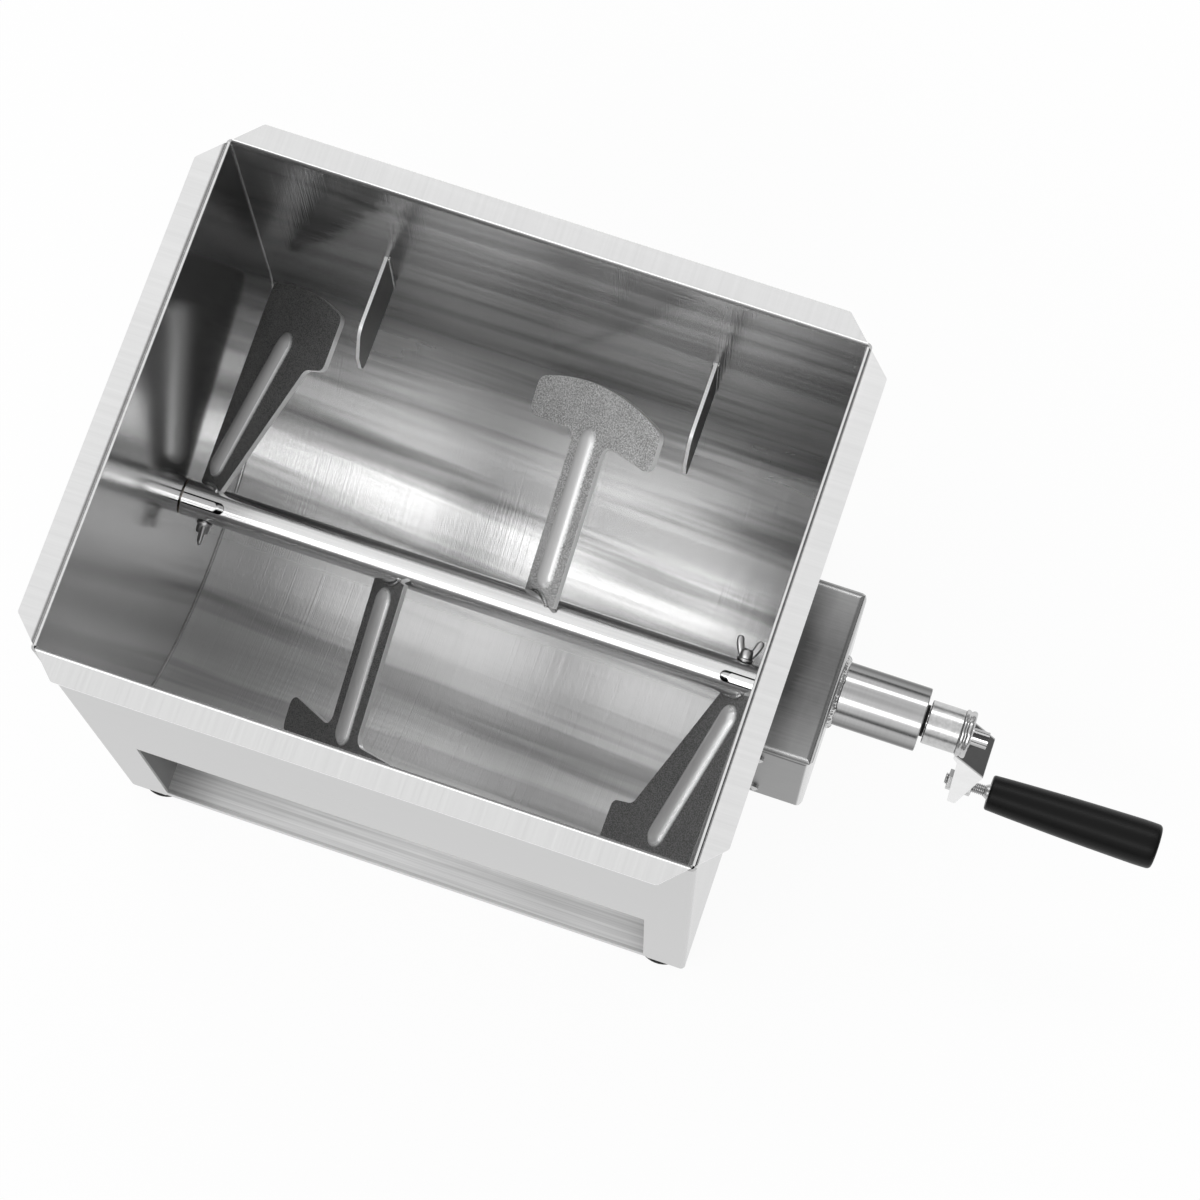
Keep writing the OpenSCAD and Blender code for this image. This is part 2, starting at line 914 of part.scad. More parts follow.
module wing_screws() {
  color(bright)
    translate([-mid_x, 0, 0])
    on_shaft()
    rotate([slot_tilt, 0, 0])
    for (s = [-1, 1])
      translate([s * wing_x, 0, 0])
        rotate([-s * 90, 0, 0])
        rotate([0, 0, s < 0 ? 75 : 0])
        wing_screw();
}

// Key seat cut in an axle end, and the hollow for the wing screw
module axle_cuts() {
  rotate([slot_tilt, 0, 0]) {
    translate([key_end + key_width / 2, 0, axle_d / 2 - key_depth])
      cylinder(h = key_depth + 1, d = key_width + 2 * seat_gap);
    slab(
      key_end + key_width / 2, tube_end + eps, -key_width / 2 - seat_gap,
      key_width / 2 + seat_gap, axle_d / 2 - key_depth, axle_d / 2 + 1
    );
  }
}

module shaft_key() {
  rotate([slot_tilt, 0, 0])
    intersection() {
      union() {
        translate([key_end + key_width / 2, 0, axle_d / 2 - key_depth])
          cylinder(h = tube_d, d = key_width);
        slab(
          key_end + key_width / 2, tube_end, -key_width / 2, key_width / 2,
          axle_d / 2 - key_depth, tube_d
        );
      }
      rod(0, half_l + 2, tube_d - 0.1);
    }
}

module left_axle() {
  color(bright)
    translate([-mid_x, 0, 0])
    on_shaft()
    difference() {
      rod(-axle_end, -slot_end + 4, axle_d);
      scale([-1, 1, 1]) axle_cuts();
      rotate([slot_tilt, 0, 0])
        translate([-wing_x, 0, 0])
        rotate([90, 0, 0])
        translate([0, 0, axle_d / 2 - 1.2])
        cylinder(h = 5, d = 5 + 2 * seat_gap);
      tube(-boss_x - 2.8, -boss_x - 1.7, axle_d + 2, axle_d - 1);
    }
}

module left_key() {
  color(bright)
    translate([-mid_x, 0, 0])
    on_shaft()
    scale([-1, 1, 1]) shaft_key();
}

module left_ring() {
  color(bright)
    translate([-mid_x, 0, 0])
    on_shaft()
    tube(-boss_x - 2.7, -boss_x - 1.8, axle_d + 5, axle_d - 1 + 2 * seat_gap);
}

module output_shaft() {
  color(bright)
    translate([-mid_x, 0, 0])
    on_shaft()
    difference() {
      rod(slot_end - 4, gear_x1 + 8, axle_d);
      axle_cuts();
      rotate([slot_tilt, 0, 0])
        translate([wing_x, 0, 0])
        rotate([-90, 0, 0])
        translate([0, 0, axle_d / 2 - 1.2])
        cylinder(h = 5, d = 5 + 2 * seat_gap);
      slab(gear_x0, gear_x1, -2 - seat_gap, 2 + seat_gap, axle_d / 2 - 2.5, axle_d);
      tube(gear_x1 + 5.7, gear_x1 + 6.8, axle_d + 2, axle_d - 1);
    }
}

module output_key() {
  color(bright)
    translate([-mid_x, 0, 0])
    on_shaft()
    shaft_key();
}

module drive_gear() {
  color(satin)
    translate([-mid_x, 0, 0])
    on_shaft()
    difference() {
      union() {
        translate([gear_x0, 0, 0])
          facing_x()
          linear_extrude(gear_width)
          polygon(gear_outline(drive_teeth, gear_module, 0.88, 90));
        rod(base_x + 2.4, gear_x1 + 5.5, axle_d + 12);
      }
      rod(side_x, gear_x1 + 9, axle_d + 2 * seat_gap);
      slab(
        gear_x0 - 5, gear_x1 + 9, -2 - seat_gap, 2 + seat_gap,
        0, axle_d / 2 + 1.6
      );
      for (a = [0:60:300])
        rotate([a, 0, 0])
          translate([0, 0, (axle_d / 2 + 6 + gear_module * (drive_teeth / 2 - 3)) / 2])
          rod(gear_x0 - 1, gear_x1 + 1, 8);
    }
}

module gear_key() {
  color(bright)
    translate([-mid_x, 0, 0])
    on_shaft()
    slab(gear_x0, gear_x1, -2, 2, axle_d / 2 - 2.5, axle_d / 2 + 1.5);
}

module gear_ring() {
  color(bright)
    translate([-mid_x, 0, 0])
    on_shaft()
    tube(gear_x1 + 5.8, gear_x1 + 6.7, axle_d + 5, axle_d - 1 + 2 * seat_gap);
}

// Crank
module crank_shaft() {
  color(bright)
    translate([-mid_x, 0, 0])
    on_crank()
    difference() {
      union() {
        rod(side_x + 0.6, base_x + 3, pilot_d);
        rod(base_x + 3 - eps, collar_x1 + 0.4, crank_shaft_d);
        rod(collar_x1 + 0.4 - eps, shaft_tip, tip_d);
      }
      slab(collar_x1 + 0.4, shaft_tip + 1, -1.2, 1.2, -20, 20);
      translate([gear_x1 + 2.8, 20, 0]) facing_y() cylinder(h = 40, d = 3 + 2 * seat_gap);
    }
}

module pinion() {
  color(satin)
    translate([-mid_x, 0, 0])
    on_crank()
    difference() {
      union() {
        translate([gear_x0 - 0.3, 0, 0])
          facing_x()
          linear_extrude(gear_width + 0.6)
          polygon(gear_outline(pinion_teeth, gear_module, 0.95, 270 + 180 / pinion_teeth));
        rod(gear_x1, gear_x1 + 5.3, crank_shaft_d + 6);
      }
      rod(gear_x0 - 2, gear_x1 + 9, crank_shaft_d + 2 * seat_gap);
      translate([gear_x1 + 2.8, 20, 0]) facing_y() cylinder(h = 40, d = 3 + 2 * seat_gap);
    }
}

module pinion_pin() {
  color(bright)
    translate([-mid_x, 0, 0])
    on_crank()
    translate([gear_x1 + 2.8, crank_shaft_d / 2 + 2.8, 0])
    facing_y()
    cylinder(h = crank_shaft_d + 5.6, d = 3);
}

module crank_hub() {
  color(bright)
    translate([-mid_x, 0, 0])
    on_crank()
    tube(hub_x0, collar_x0, hub_d, crank_shaft_d + 2 * seat_gap);
}

module hub_collar() {
  color(bright)
    translate([-mid_x, 0, 0])
    on_crank()
    difference() {
      translate([collar_x0, 0, 0])
        rotate([0, 90, 0])
        rotate_extrude()
        intersection() {
          rounded_square(-collar_d / 2, 0, collar_d / 2, collar_x1 - collar_x0, 1.6);
          square(collar_d);
        }
      rod(collar_x0 - 1, collar_x1 + 1, crank_shaft_d + 2 * seat_gap);
    }
}

// Side view of the crank arm: sloped top, long web, open inner side and lower end
arm_top = [arm_x, -8];
arm_bend = [arm_x + 17, -36.5];
arm_foot = [arm_x + 10, -crank_radius - 5.5];
web_x = arm_bend.x - 7 * (crank_radius - 36.5) / (crank_radius - 31);
function inward(a, b) = let (d = toward(b, a)) [d.y, -d.x];
arm_profile = [
  [arm_top.x, arm_top.y, 0],
  [arm_bend.x, arm_bend.y, 3],
  [arm_foot.x, arm_foot.y, 1],
  [arm_x + 5.8, arm_foot.y + 2, 0],
  [arm_x + 2.1, -23, 0],
  [arm_x - 0.5, -14, 0]
];
slope_n = inward(arm_top, arm_bend);
web_n = inward(arm_bend, arm_foot);
hollow_top = arm_top + arm_t * slope_n + 6 * toward(arm_top, arm_bend);
hollow_bend = arm_bend + arm_t * (slope_n + web_n) / (1 + slope_n * web_n);
hollow_foot = arm_foot + arm_t * web_n + 3 * toward(arm_foot, arm_bend);
arm_hollow = [
  [hollow_top.x, hollow_top.y, 0],
  [hollow_bend.x, hollow_bend.y, 1],
  [hollow_foot.x, hollow_foot.y, 0],
  [arm_x - 5, hollow_foot.y, 0]
];

module crank_arm() {
  color(bright)
    translate([-mid_x, 0, 0])
    on_crank()
    difference() {
      union() {
        difference() {
          facing_y()
            linear_extrude(arm_width, center = true)
            polygon(rounded(arm_profile));
          facing_y()
            linear_extrude(arm_width - 2 * arm_t, center = true)
            polygon(rounded(arm_hollow));
        }
        translate([0, 0, -crank_radius])
          rod(web_x - arm_t - 0.6, web_x + 0.5, 11);
      }
      translate([0, 0, -crank_radius]) rod(arm_x - 5, arm_x + 25, stud_d + 2 * seat_gap);
      rod(collar_x0 - 2, collar_x1 + eps, collar_d + 2 * seat_gap);
      rod(collar_x1, shaft_tip + 5, crank_shaft_d + 0.6);
    }
}

module handle_spindle() {
  color(bright)
    translate([-mid_x, 0, 0])
    translate([0, 0, handle_height]) {
      rod(arm_x + 1.5, grip_x0 - 0.5, stud_d);
      rod(grip_x0 - 0.5 - eps, grip_x1 - 14, spindle_d);
      rod(grip_x1 - 14 - eps, grip_x1 - 10, spindle_d + 4);
    }
}

module spindle_nuts() {
  color(bright)
    translate([-mid_x, 0, 0])
    translate([0, 0, handle_height])
    for (x = [web_x - arm_t - 0.6 - 5, web_x + 0.5])
      difference() {
        translate([x, 0, 0])
          rotate([0, 90, 0])
          cylinder(h = 5, d = 10 / cos(30), $fn = 6);
        rod(x - 1, x + 6, stud_d + 2 * seat_gap);
      }
}

module grip() {
  color(black)
    translate([-mid_x, 0, 0])
    translate([0, 0, handle_height])
    difference() {
      translate([grip_x0, 0, 0])
        rotate([0, 90, 0])
        rotate_extrude()
        polygon(rounded([
          [0, 0, 0],
          [grip_d1 / 2 - 0.6, 0, 1.5],
          [grip_d1 / 2, 4, 0],
          [grip_d2 / 2, grip_length - 12, 8],
          [grip_d2 / 2 - 0.4, grip_length, 2.5],
          [0, grip_length, 0]
        ]));
      rod(grip_x0 - 1, grip_x1 - 12, spindle_d + 2 * run_gap);
      rod(grip_x1 - 14.5, grip_x1 - 9.5, spindle_d + 4.6);
    }
}

trough();
left_tank_wall();
right_tank_wall();
left_side_plate();
right_side_plate();
front_panel();
back_panel();
post_gussets();
left_baffle();
right_baffle();
foot_pads();
foot_cups();
foot_bolts();
foot_nuts();
left_boss();
left_bush();
gearbox_base();
gearbox_cover();
cover_screws();
output_bush();
pilot_bush();
bearing_housing();
housing_collar();
inner_crank_bush();
outer_crank_bush();
mixing_shaft();
left_end_paddle();
left_t_paddle();
right_t_paddle();
right_end_paddle();
wing_screws();
left_axle();
left_key();
left_ring();
output_shaft();
output_key();
drive_gear();
gear_key();
gear_ring();
crank_shaft();
pinion();
pinion_pin();
crank_hub();
hub_collar();
crank_arm();
handle_spindle();
spindle_nuts();
grip();
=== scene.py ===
"""Studio picture of a hand cranked meat mixer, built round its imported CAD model.

Sizes are in metres in the frame of the CAD model: X runs to the crank, Y to the back
wall, Z up. Where a line says so, they are in millimetres from the middle of the tank.
"""

import json
import math

import bmesh
import bpy
from mathutils import Matrix, Vector

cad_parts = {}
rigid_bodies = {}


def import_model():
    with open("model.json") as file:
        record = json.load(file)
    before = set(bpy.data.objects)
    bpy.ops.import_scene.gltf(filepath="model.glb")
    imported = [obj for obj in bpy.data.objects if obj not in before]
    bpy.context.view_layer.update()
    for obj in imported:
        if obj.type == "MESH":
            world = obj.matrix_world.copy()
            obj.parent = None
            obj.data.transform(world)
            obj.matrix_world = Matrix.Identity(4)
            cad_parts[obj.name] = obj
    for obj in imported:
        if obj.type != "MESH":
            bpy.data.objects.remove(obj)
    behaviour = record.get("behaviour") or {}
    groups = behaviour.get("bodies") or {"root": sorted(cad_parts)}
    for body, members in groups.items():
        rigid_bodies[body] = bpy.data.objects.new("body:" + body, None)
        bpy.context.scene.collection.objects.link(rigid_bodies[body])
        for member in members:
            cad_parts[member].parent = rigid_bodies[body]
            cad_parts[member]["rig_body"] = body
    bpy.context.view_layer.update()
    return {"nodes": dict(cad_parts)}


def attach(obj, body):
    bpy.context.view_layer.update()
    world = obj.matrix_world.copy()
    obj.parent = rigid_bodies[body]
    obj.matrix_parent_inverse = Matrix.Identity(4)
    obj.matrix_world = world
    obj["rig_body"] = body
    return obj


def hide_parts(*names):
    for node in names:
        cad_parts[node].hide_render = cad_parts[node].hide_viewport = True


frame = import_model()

bl_info = {
    "name": "Meat mixer studio",
    "version": (1, 0, 0),
    "blender": (4, 5, 0),
    "location": "3D View > Sidebar > Meat mixer",
    "description": "Dresses the CAD model of a meat mixer and sets its studio",
    "category": "Object",
}

# Distance of the tank's middle from the origin, and the heights of the axes and the rim.
MID_X = 0.10085
SHAFT_Z = 0.154
CRANK_Z = 0.196
HANDLE_Z = 0.0815
RIM_Z = 0.338

# Sheet work of the tank, from its middle: both faces of an end wall, the depth of the
# rim flange, and a baffle with a little less than half its thickness.
END_OUTER_X = 0.1571
END_INNER_X = 0.1552
FLANGE = 0.0026
BAFFLE_X = 0.085
BAFFLE_HALF = 0.00088

# Lines of the weld beads, in millimetres: corner of the tank, inside of the trough and
# its straight walls, tube of the shaft, and face of a paddle plate from its middle.
CORNER_X = 154.9
TROUGH_RADIUS = 126.4
TUBE_RADIUS = 9.6
PLATE_FACE = 1.7

# Faces of a thread in one turn, the spacing of a bead's ripples, and what is left of a
# bead's width at its ends.
THREAD_STEPS = 28
RIPPLE_PITCH = 0.0011
TAPER = 0.55

# Points of a skin that lie nearer than this are one point.
MERGE = 0.000002

# Shifts that keep one noise pattern from lying over another.
LINE_SHIFT = (1.0, 6.0, 2.0)
CLOUD_SHIFT = (3.1, 0.4, 1.7)
STAMP_SHIFT = (8.0, 1.0, 2.0)
BAND_SHIFT = (0.7, 2.2, 5.0)

# Turn about X of a bar's top, left bright between its flanks of painted shade, and of the
# shaft's slots and keys.
TOP_LEAN = math.radians(12.74)
SLOT_TURN = math.radians(18.0)


class Wire:
    """A shader output that takes part in Python sums like a number."""

    def __init__(self, graph, socket):
        self.graph = graph
        self.socket = socket

    def __add__(self, other):
        return self.graph.math("ADD", self, other)

    def __radd__(self, other):
        return self.graph.math("ADD", other, self)

    def __sub__(self, other):
        return self.graph.math("SUBTRACT", self, other)

    def __rsub__(self, other):
        return self.graph.math("SUBTRACT", other, self)

    def __mul__(self, other):
        return self.graph.math("MULTIPLY", self, other)

    def __rmul__(self, other):
        return self.graph.math("MULTIPLY", other, self)

    def __truediv__(self, other):
        return self.graph.math("DIVIDE", self, other)

    def __rtruediv__(self, other):
        return self.graph.math("DIVIDE", other, self)

    def __pow__(self, other):
        return self.graph.math("POWER", self, other)

    def __rpow__(self, other):
        return self.graph.math("POWER", other, self)

    def __abs__(self):
        return self.graph.math("ABSOLUTE", self)

    def __gt__(self, other):
        return self.graph.math("GREATER_THAN", self, other)

    def __lt__(self, other):
        return self.graph.math("LESS_THAN", self, other)


class Graph:
    """Builds the nodes of one material, or of the world."""

    def __init__(self, tree):
        self.tree = tree
        tree.nodes.clear()

    def node(self, kind, settings=None, values=None):
        """Adds a node: its type, its settings, then a value or wire for each input."""
        made = self.tree.nodes.new(kind)
        for name, setting in (settings or {}).items():
            setattr(made, name, setting)
        for key, value in (values or {}).items():
            if isinstance(value, Wire):
                self.tree.links.new(value.socket, made.inputs[key])
            else:
                made.inputs[key].default_value = value
        return made

    def wire(self, kind, settings=None, values=None, output=0):
        return Wire(self, self.node(kind, settings, values).outputs[output])

    def math(self, operation, first, second=0.0, clamp=False):
        settings = {"operation": operation, "use_clamp": clamp}
        return self.wire("ShaderNodeMath", settings, {0: first, 1: second})

    def vector(self, operation, first, second):
        settings = {"operation": operation}
        return self.wire("ShaderNodeVectorMath", settings, {0: first, 1: second})

    def mix(self, factor, first, second):
        """Mix of two colours."""
        settings = {"data_type": "RGBA", "clamp_factor": True}
        return self.wire("ShaderNodeMix", settings, {0: factor, 6: first, 7: second}, 2)

    def ramp(self, value, low, high):
        """0 below low, 1 above high, straight between them."""
        values = {"Value": value, "From Min": low, "From Max": high}
        return self.wire("ShaderNodeMapRange", {"clamp": True}, values)

    def place(self):
        """Object coordinates in metres."""
        return self.wire("ShaderNodeTexCoord", output=3)

    def axes(self, vector):
        """The three numbers of a vector."""
        made = self.node("ShaderNodeSeparateXYZ", values={0: vector})
        return [Wire(self, output) for output in made.outputs]

    def noise(self, place, stretch, detail, rough, shift=(0.0, 0.0, 0.0)):
        """Noise whose grain is stretched, by its turns per metre on each axis."""
        moved = self.vector("ADD", self.vector("MULTIPLY", place, stretch), shift)
        values = {"Vector": moved, "Scale": 1.0, "Detail": detail, "Roughness": rough}
        return self.wire("ShaderNodeTexNoise", {"noise_dimensions": "3D"}, values)

    def bump(self, height, distance):
        """Bump whose height of 1 stands for the distance in metres."""
        values = {"Height": height, "Distance": distance, "Strength": 1.0}
        return self.wire("ShaderNodeBump", values=values)

    def attribute(self, name):
        """A number that the mesh carries."""
        return self.wire("ShaderNodeAttribute", {"attribute_name": name}, output=2)

    def surface(self, values):
        """Principled shader and the material's output."""
        shader = self.wire("ShaderNodeBsdfPrincipled", values=values)
        self.node("ShaderNodeOutputMaterial", values={"Surface": shader})


def fresh(name):
    """A new material and its empty graph."""
    material = bpy.data.materials.new(name)
    material.use_nodes = True
    return material, Graph(material.node_tree)


def grey(level, warm=0.0):
    """Colour of one level; warm moves it to bronze."""
    return (level * (1.0 + warm), level, level * (1.0 - warm), 1.0)


def dark_light(graph, factor, dark, light, warm=0.0):
    """Grey from dark to light as the factor goes from 0 to 1."""
    return graph.mix(factor, grey(dark, warm), grey(light, warm))


def trough_sheet(name):
    """Trough: long streaks in its bottom that also carry painted reflection bands, a
    front half painted brighter as painted light, a back wall darkened as painted shade, a
    brushed rim.
    """
    material, graph = fresh(name)
    place = graph.place()
    x, y, z = graph.axes(place)
    # Where on the trough: rim, walls, left end, back wall, front half, round bottom.
    on_rim = z > RIM_Z - 0.0003
    upper = graph.ramp(z, 0.150, 0.230)
    left = 1.0 - graph.ramp(x + MID_X, -0.15, -0.02)
    # Painted shade: the back wall is darkened from a little above the bottom upwards,
    # more towards the left end.
    shade = graph.ramp(z, 0.085, 0.140) * (y > 0.0) * (0.66 + left * 0.24)
    front = 1.0 - graph.ramp(y, -0.035, 0.015)
    front_wall = (1.0 - graph.ramp(y, -0.119, -0.110)) * graph.ramp(z, 0.150, 0.200)
    bottom = 1.0 - graph.ramp(z, 0.075, 0.150 + front * 0.1)
    # Its marks: fine grain and brushed lines, slightly skewed streaks, soft clouds; the
    # streaks and clouds also lay painted reflection bands in the colour.
    grain = graph.noise(place, (1500.0, 7.0, 7.0), 2.0, 0.6)
    lines = graph.noise(place, (520.0, 6.0, 6.0), 4.0, 0.6, LINE_SHIFT)
    turn = {"Vector": place, "Rotation": (0.0, 0.0, 0.06)}
    skew = graph.wire("ShaderNodeMapping", values=turn)
    streak = graph.noise(skew, (1.6, 44.0, 44.0), 3.0, 0.55, (3.0, 1.0, 7.0))
    cloud = graph.noise(place, (6.0, 16.0, 16.0), 3.0, 0.5, CLOUD_SHIFT)
    # Painted reflection: broad bright and dark bands along X, with the front half painted
    # brighter as painted light.
    bands = graph.ramp(streak + cloud * 0.20, 0.50, 0.66)
    body = dark_light(graph, bands + front * 0.55, 0.38, 1.0)
    body = graph.mix(shade, body, grey(0.11))
    rim = dark_light(graph, lines, 0.64, 0.82)
    fine = graph.ramp(lines, 0.2, 0.8) * 0.06
    dull = bottom * (0.25 + front * 0.15) + shade * 0.50 + front_wall * 0.20
    graph.surface({
        "Base Color": graph.mix(fine, graph.mix(on_rim, body, rim), grey(0.25)),
        "Metallic": 1.0 - dull,
        "Roughness": 0.24 - upper * 0.10 + on_rim * 0.10 + cloud * 0.05,
        "Normal": graph.bump(grain * (1.0 - on_rim * 0.7) + streak * 6.0, 0.00010),
    })
    return material


def end_sheet(name):
    """End walls: brushed along their flanges, with painted shade below them on both
    sides.
    """
    material, graph = fresh(name)
    place = graph.place()
    x, _, z = graph.axes(place)
    on_rim = z > RIM_Z - 0.0003
    side = abs(x + MID_X)
    outside = (side > END_OUTER_X) * (z < RIM_Z - FLANGE)
    inside = (side < END_INNER_X) * (z < RIM_Z - 0.0002)
    grain = graph.noise(place, (7.0, 2100.0, 7.0), 2.0, 0.6)
    lines = graph.noise(place, (6.0, 520.0, 6.0), 4.0, 0.6, LINE_SHIFT)
    cloud = graph.noise(place, (13.0, 13.0, 13.0), 3.0, 0.5, CLOUD_SHIFT)
    tone = dark_light(graph, lines * 0.8 + cloud * 0.4 - 0.10, 0.66, 0.84)
    # Painted shade: the outer faces under the flange and the inner faces below the rim
    # are darkened about halfway towards near black.
    shade = graph.math("MINIMUM", outside * 0.40 + inside * 0.52, 0.6)
    graph.surface({
        "Base Color": graph.mix(shade, tone, grey(0.10)),
        "Metallic": 1.0,
        "Roughness": 0.11 + on_rim * 0.16 + outside * 0.10 + cloud * 0.05,
        "Normal": graph.bump(grain, 0.000012),
    })
    return material


def panel_sheet(name):
    """Satin panel of the stand, with the floor flange behind its window painted brighter
    as a painted reflection.
    """
    material, graph = fresh(name)
    place = graph.place()
    _, y, z = graph.axes(place)
    on_floor = (z < 0.0116) * (abs(y) < 0.1262)
    grain = graph.noise(place, (4.0, 420.0, 420.0), 4.0, 0.62)
    cloud = graph.noise(place, (9.0, 30.0, 30.0), 3.0, 0.5, CLOUD_SHIFT)
    shade = graph.math("ADD", grain * 0.7 + cloud * 0.5, -0.1, clamp=True)
    outer = dark_light(graph, shade, 0.45, 0.54)
    # Painted reflection: the floor flange is painted much lighter than the panel.
    inner = dark_light(graph, grain * 1.6 + cloud * 0.5 - 0.6, 0.45, 1.0)
    graph.surface({
        "Base Color": graph.mix(on_floor, outer, inner),
        "Metallic": 1.0,
        "Roughness": 0.24 + grain * 0.06 + cloud * 0.04,
        "Normal": graph.bump(grain, 0.00001),
    })
    return material


def cover_sheet(name):
    """Gearbox sheet: brushed along the shaft, mottled, with a painted shadow beside the
    tank, upright sides painted darker as painted shade, and a painted highlight along the
    outer edge.
    """
    material, graph = fresh(name)
    place = graph.place()
    x, y, _ = graph.axes(place)
    # Its ends, the strip beside the tank that gets a painted shadow, the outer edge that
    # gets a painted highlight, and the upright sides, painted darker as painted shade.
    ends = graph.ramp(abs(y), 0.012, 0.044)
    shadow = 1.0 - graph.ramp(x, 0.0665, 0.0765)
    painted_edge_highlight = graph.ramp(x, 0.0862, 0.0872)
    upright = abs(y) > 0.0446
    grain = graph.noise(place, (14.0, 900.0, 900.0), 4.0, 0.6)
    cloud = graph.noise(place, (45.0, 30.0, 30.0), 4.0, 0.6, CLOUD_SHIFT)
    # Painted shadow: the strip beside the tank is darkened.
    shade = ends * 0.5 + cloud * 0.5 + grain * 0.35 - shadow * 0.35 - 0.12
    face = dark_light(graph, graph.math("MINIMUM", shade, 1.0, clamp=True), 0.10, 0.42)
    # Painted shade: the upright sides get a darker tone than the top.
    flank = dark_light(graph, cloud * 0.6 + grain * 0.5, 0.11, 0.18)
    tone = graph.mix(upright, face, flank)
    # Painted highlight: a light grey band along the outer edge.
    graph.surface({
        "Base Color": graph.mix(painted_edge_highlight * 0.8, tone, grey(0.62)),
        "Metallic": 1.0,
        "Roughness": 0.27 - painted_edge_highlight * 0.10 + grain * 0.08,
        "Normal": graph.bump(grain, 0.00001),
    })
    return material


def arm_sheet(name):
    """Pressed crank arm: satin, its cheeks painted light and its slope painted near
    black, lit and shaded copies of one steel as painted light and shade.
    """
    material, graph = fresh(name)
    place = graph.place()
    x, y, z = graph.axes(place)
    # Height over the face of the slope, which leans towards the grip.
    above = (x - 0.15365) * 0.858 + (z - 0.188) * 0.512
    edge = graph.ramp(abs(y), 0.0096, 0.0102)
    on_slope = (above > -0.0003) * (1.0 - edge * 0.6)
    speck = graph.noise(place, (700.0, 700.0, 700.0), 3.0, 0.6)
    cloud = graph.noise(place, (60.0, 60.0, 60.0), 3.0, 0.55, STAMP_SHIFT)
    shade = graph.math("ADD", speck * 0.6 + cloud * 0.7, -0.15, clamp=True)
    # Painted light and shade: bright cheeks and a near black slope of the same steel.
    cheek = dark_light(graph, shade, 0.72, 0.92)
    slope_painted_dark = dark_light(graph, shade, 0.035, 0.065)
    graph.surface({
        "Base Color": graph.mix(on_slope, cheek, slope_painted_dark),
        "Metallic": 1.0,
        "Roughness": 0.24 + speck * 0.08 + cloud * 0.06,
        "Normal": graph.bump(speck, 0.00002),
    })
    return material


def flanks(graph, place):
    """1 along the flanks of a level bar, where its colour is darkened as painted shade, 0
    along its top and underside.

    The top is the line of the bar that leans to the front by TOP_LEAN.
    """
    _, y, z = graph.axes(place)
    on_crank = z > (SHAFT_Z + CRANK_Z) / 2
    up = z - on_crank * (CRANK_Z - SHAFT_Z) - SHAFT_Z
    lean = abs(up * math.cos(TOP_LEAN) - y * math.sin(TOP_LEAN))
    out = (y * y + up * up) ** 0.5
    return 1.0 - graph.ramp(lean / out, 0.35, 0.75)


def turned(
    name, dark, light, rough, warm=0.0, rings=1500.0, depth=0.00003, edge=0.0
):
    """Bar or tube turned about X: fine rings, long soft bands along it as painted
    reflection, and flanks darkened by the share edge as painted shade.
    """
    material, graph = fresh(name)
    place = graph.place()
    ring = graph.noise(place, (rings, 25.0, 25.0), 2.0, 0.5)
    # Painted reflection: long soft bands along the bar, in the colour.
    band = graph.noise(place, (8.0, 160.0, 160.0), 2.0, 0.5, BAND_SHIFT)
    shade = graph.math("ADD", ring * 0.2 + band * 1.2, -0.2, clamp=True)
    tone = dark_light(graph, shade, dark, light, warm)
    # Painted shade: the flanks turn towards near black by the share edge.
    if edge:
        tone = graph.mix(flanks(graph, place) * edge, tone, grey(0.04))
    graph.surface({
        "Base Color": tone,
        "Metallic": 1.0,
        "Roughness": rough - 0.05 + ring * 0.06 + band * 0.06,
        "Normal": graph.bump(ring, depth),
    })
    return material


def slotted_bar(name, reach, start):
    """Polished shaft metal whose slot edges, or key edges, are painted near black as the
    painted shade of the gap between slot and key.

    A slot is dark within reach of its middle line, which begins at start; a key, whose
    start is 0, is dark beyond its reach.
    """
    material, graph = fresh(name)
    place = graph.place()
    x, y, z = graph.axes(place)
    up = z - SHAFT_Z
    across = y * math.cos(SLOT_TURN) + up * math.sin(SLOT_TURN)
    height = up * math.cos(SLOT_TURN) - y * math.sin(SLOT_TURN)
    short = graph.math("MAXIMUM", start - abs(x + MID_X), 0.0)
    size = (across * across + short * short) ** 0.5
    near = size < reach if start else size > reach
    # Painted shade: the gap between slot and key, near black.
    dark = near * (height > 0.004)
    ring = graph.noise(place, (1800.0, 25.0, 25.0), 2.0, 0.5)
    # Painted reflection: long bands along the shaft, in the colour.
    band = graph.noise(place, (7.0, 260.0, 260.0), 3.0, 0.55, BAND_SHIFT)
    tone = dark_light(graph, band * 1.3 + ring * 0.2 - 0.3, 0.62, 1.0)
    graph.surface({
        "Base Color": graph.mix(dark, tone, grey(0.004)),
        "Metallic": 1.0,
        "Roughness": 0.13 + band * 0.08,
        "Normal": graph.bump(ring, 0.000005),
    })
    return material


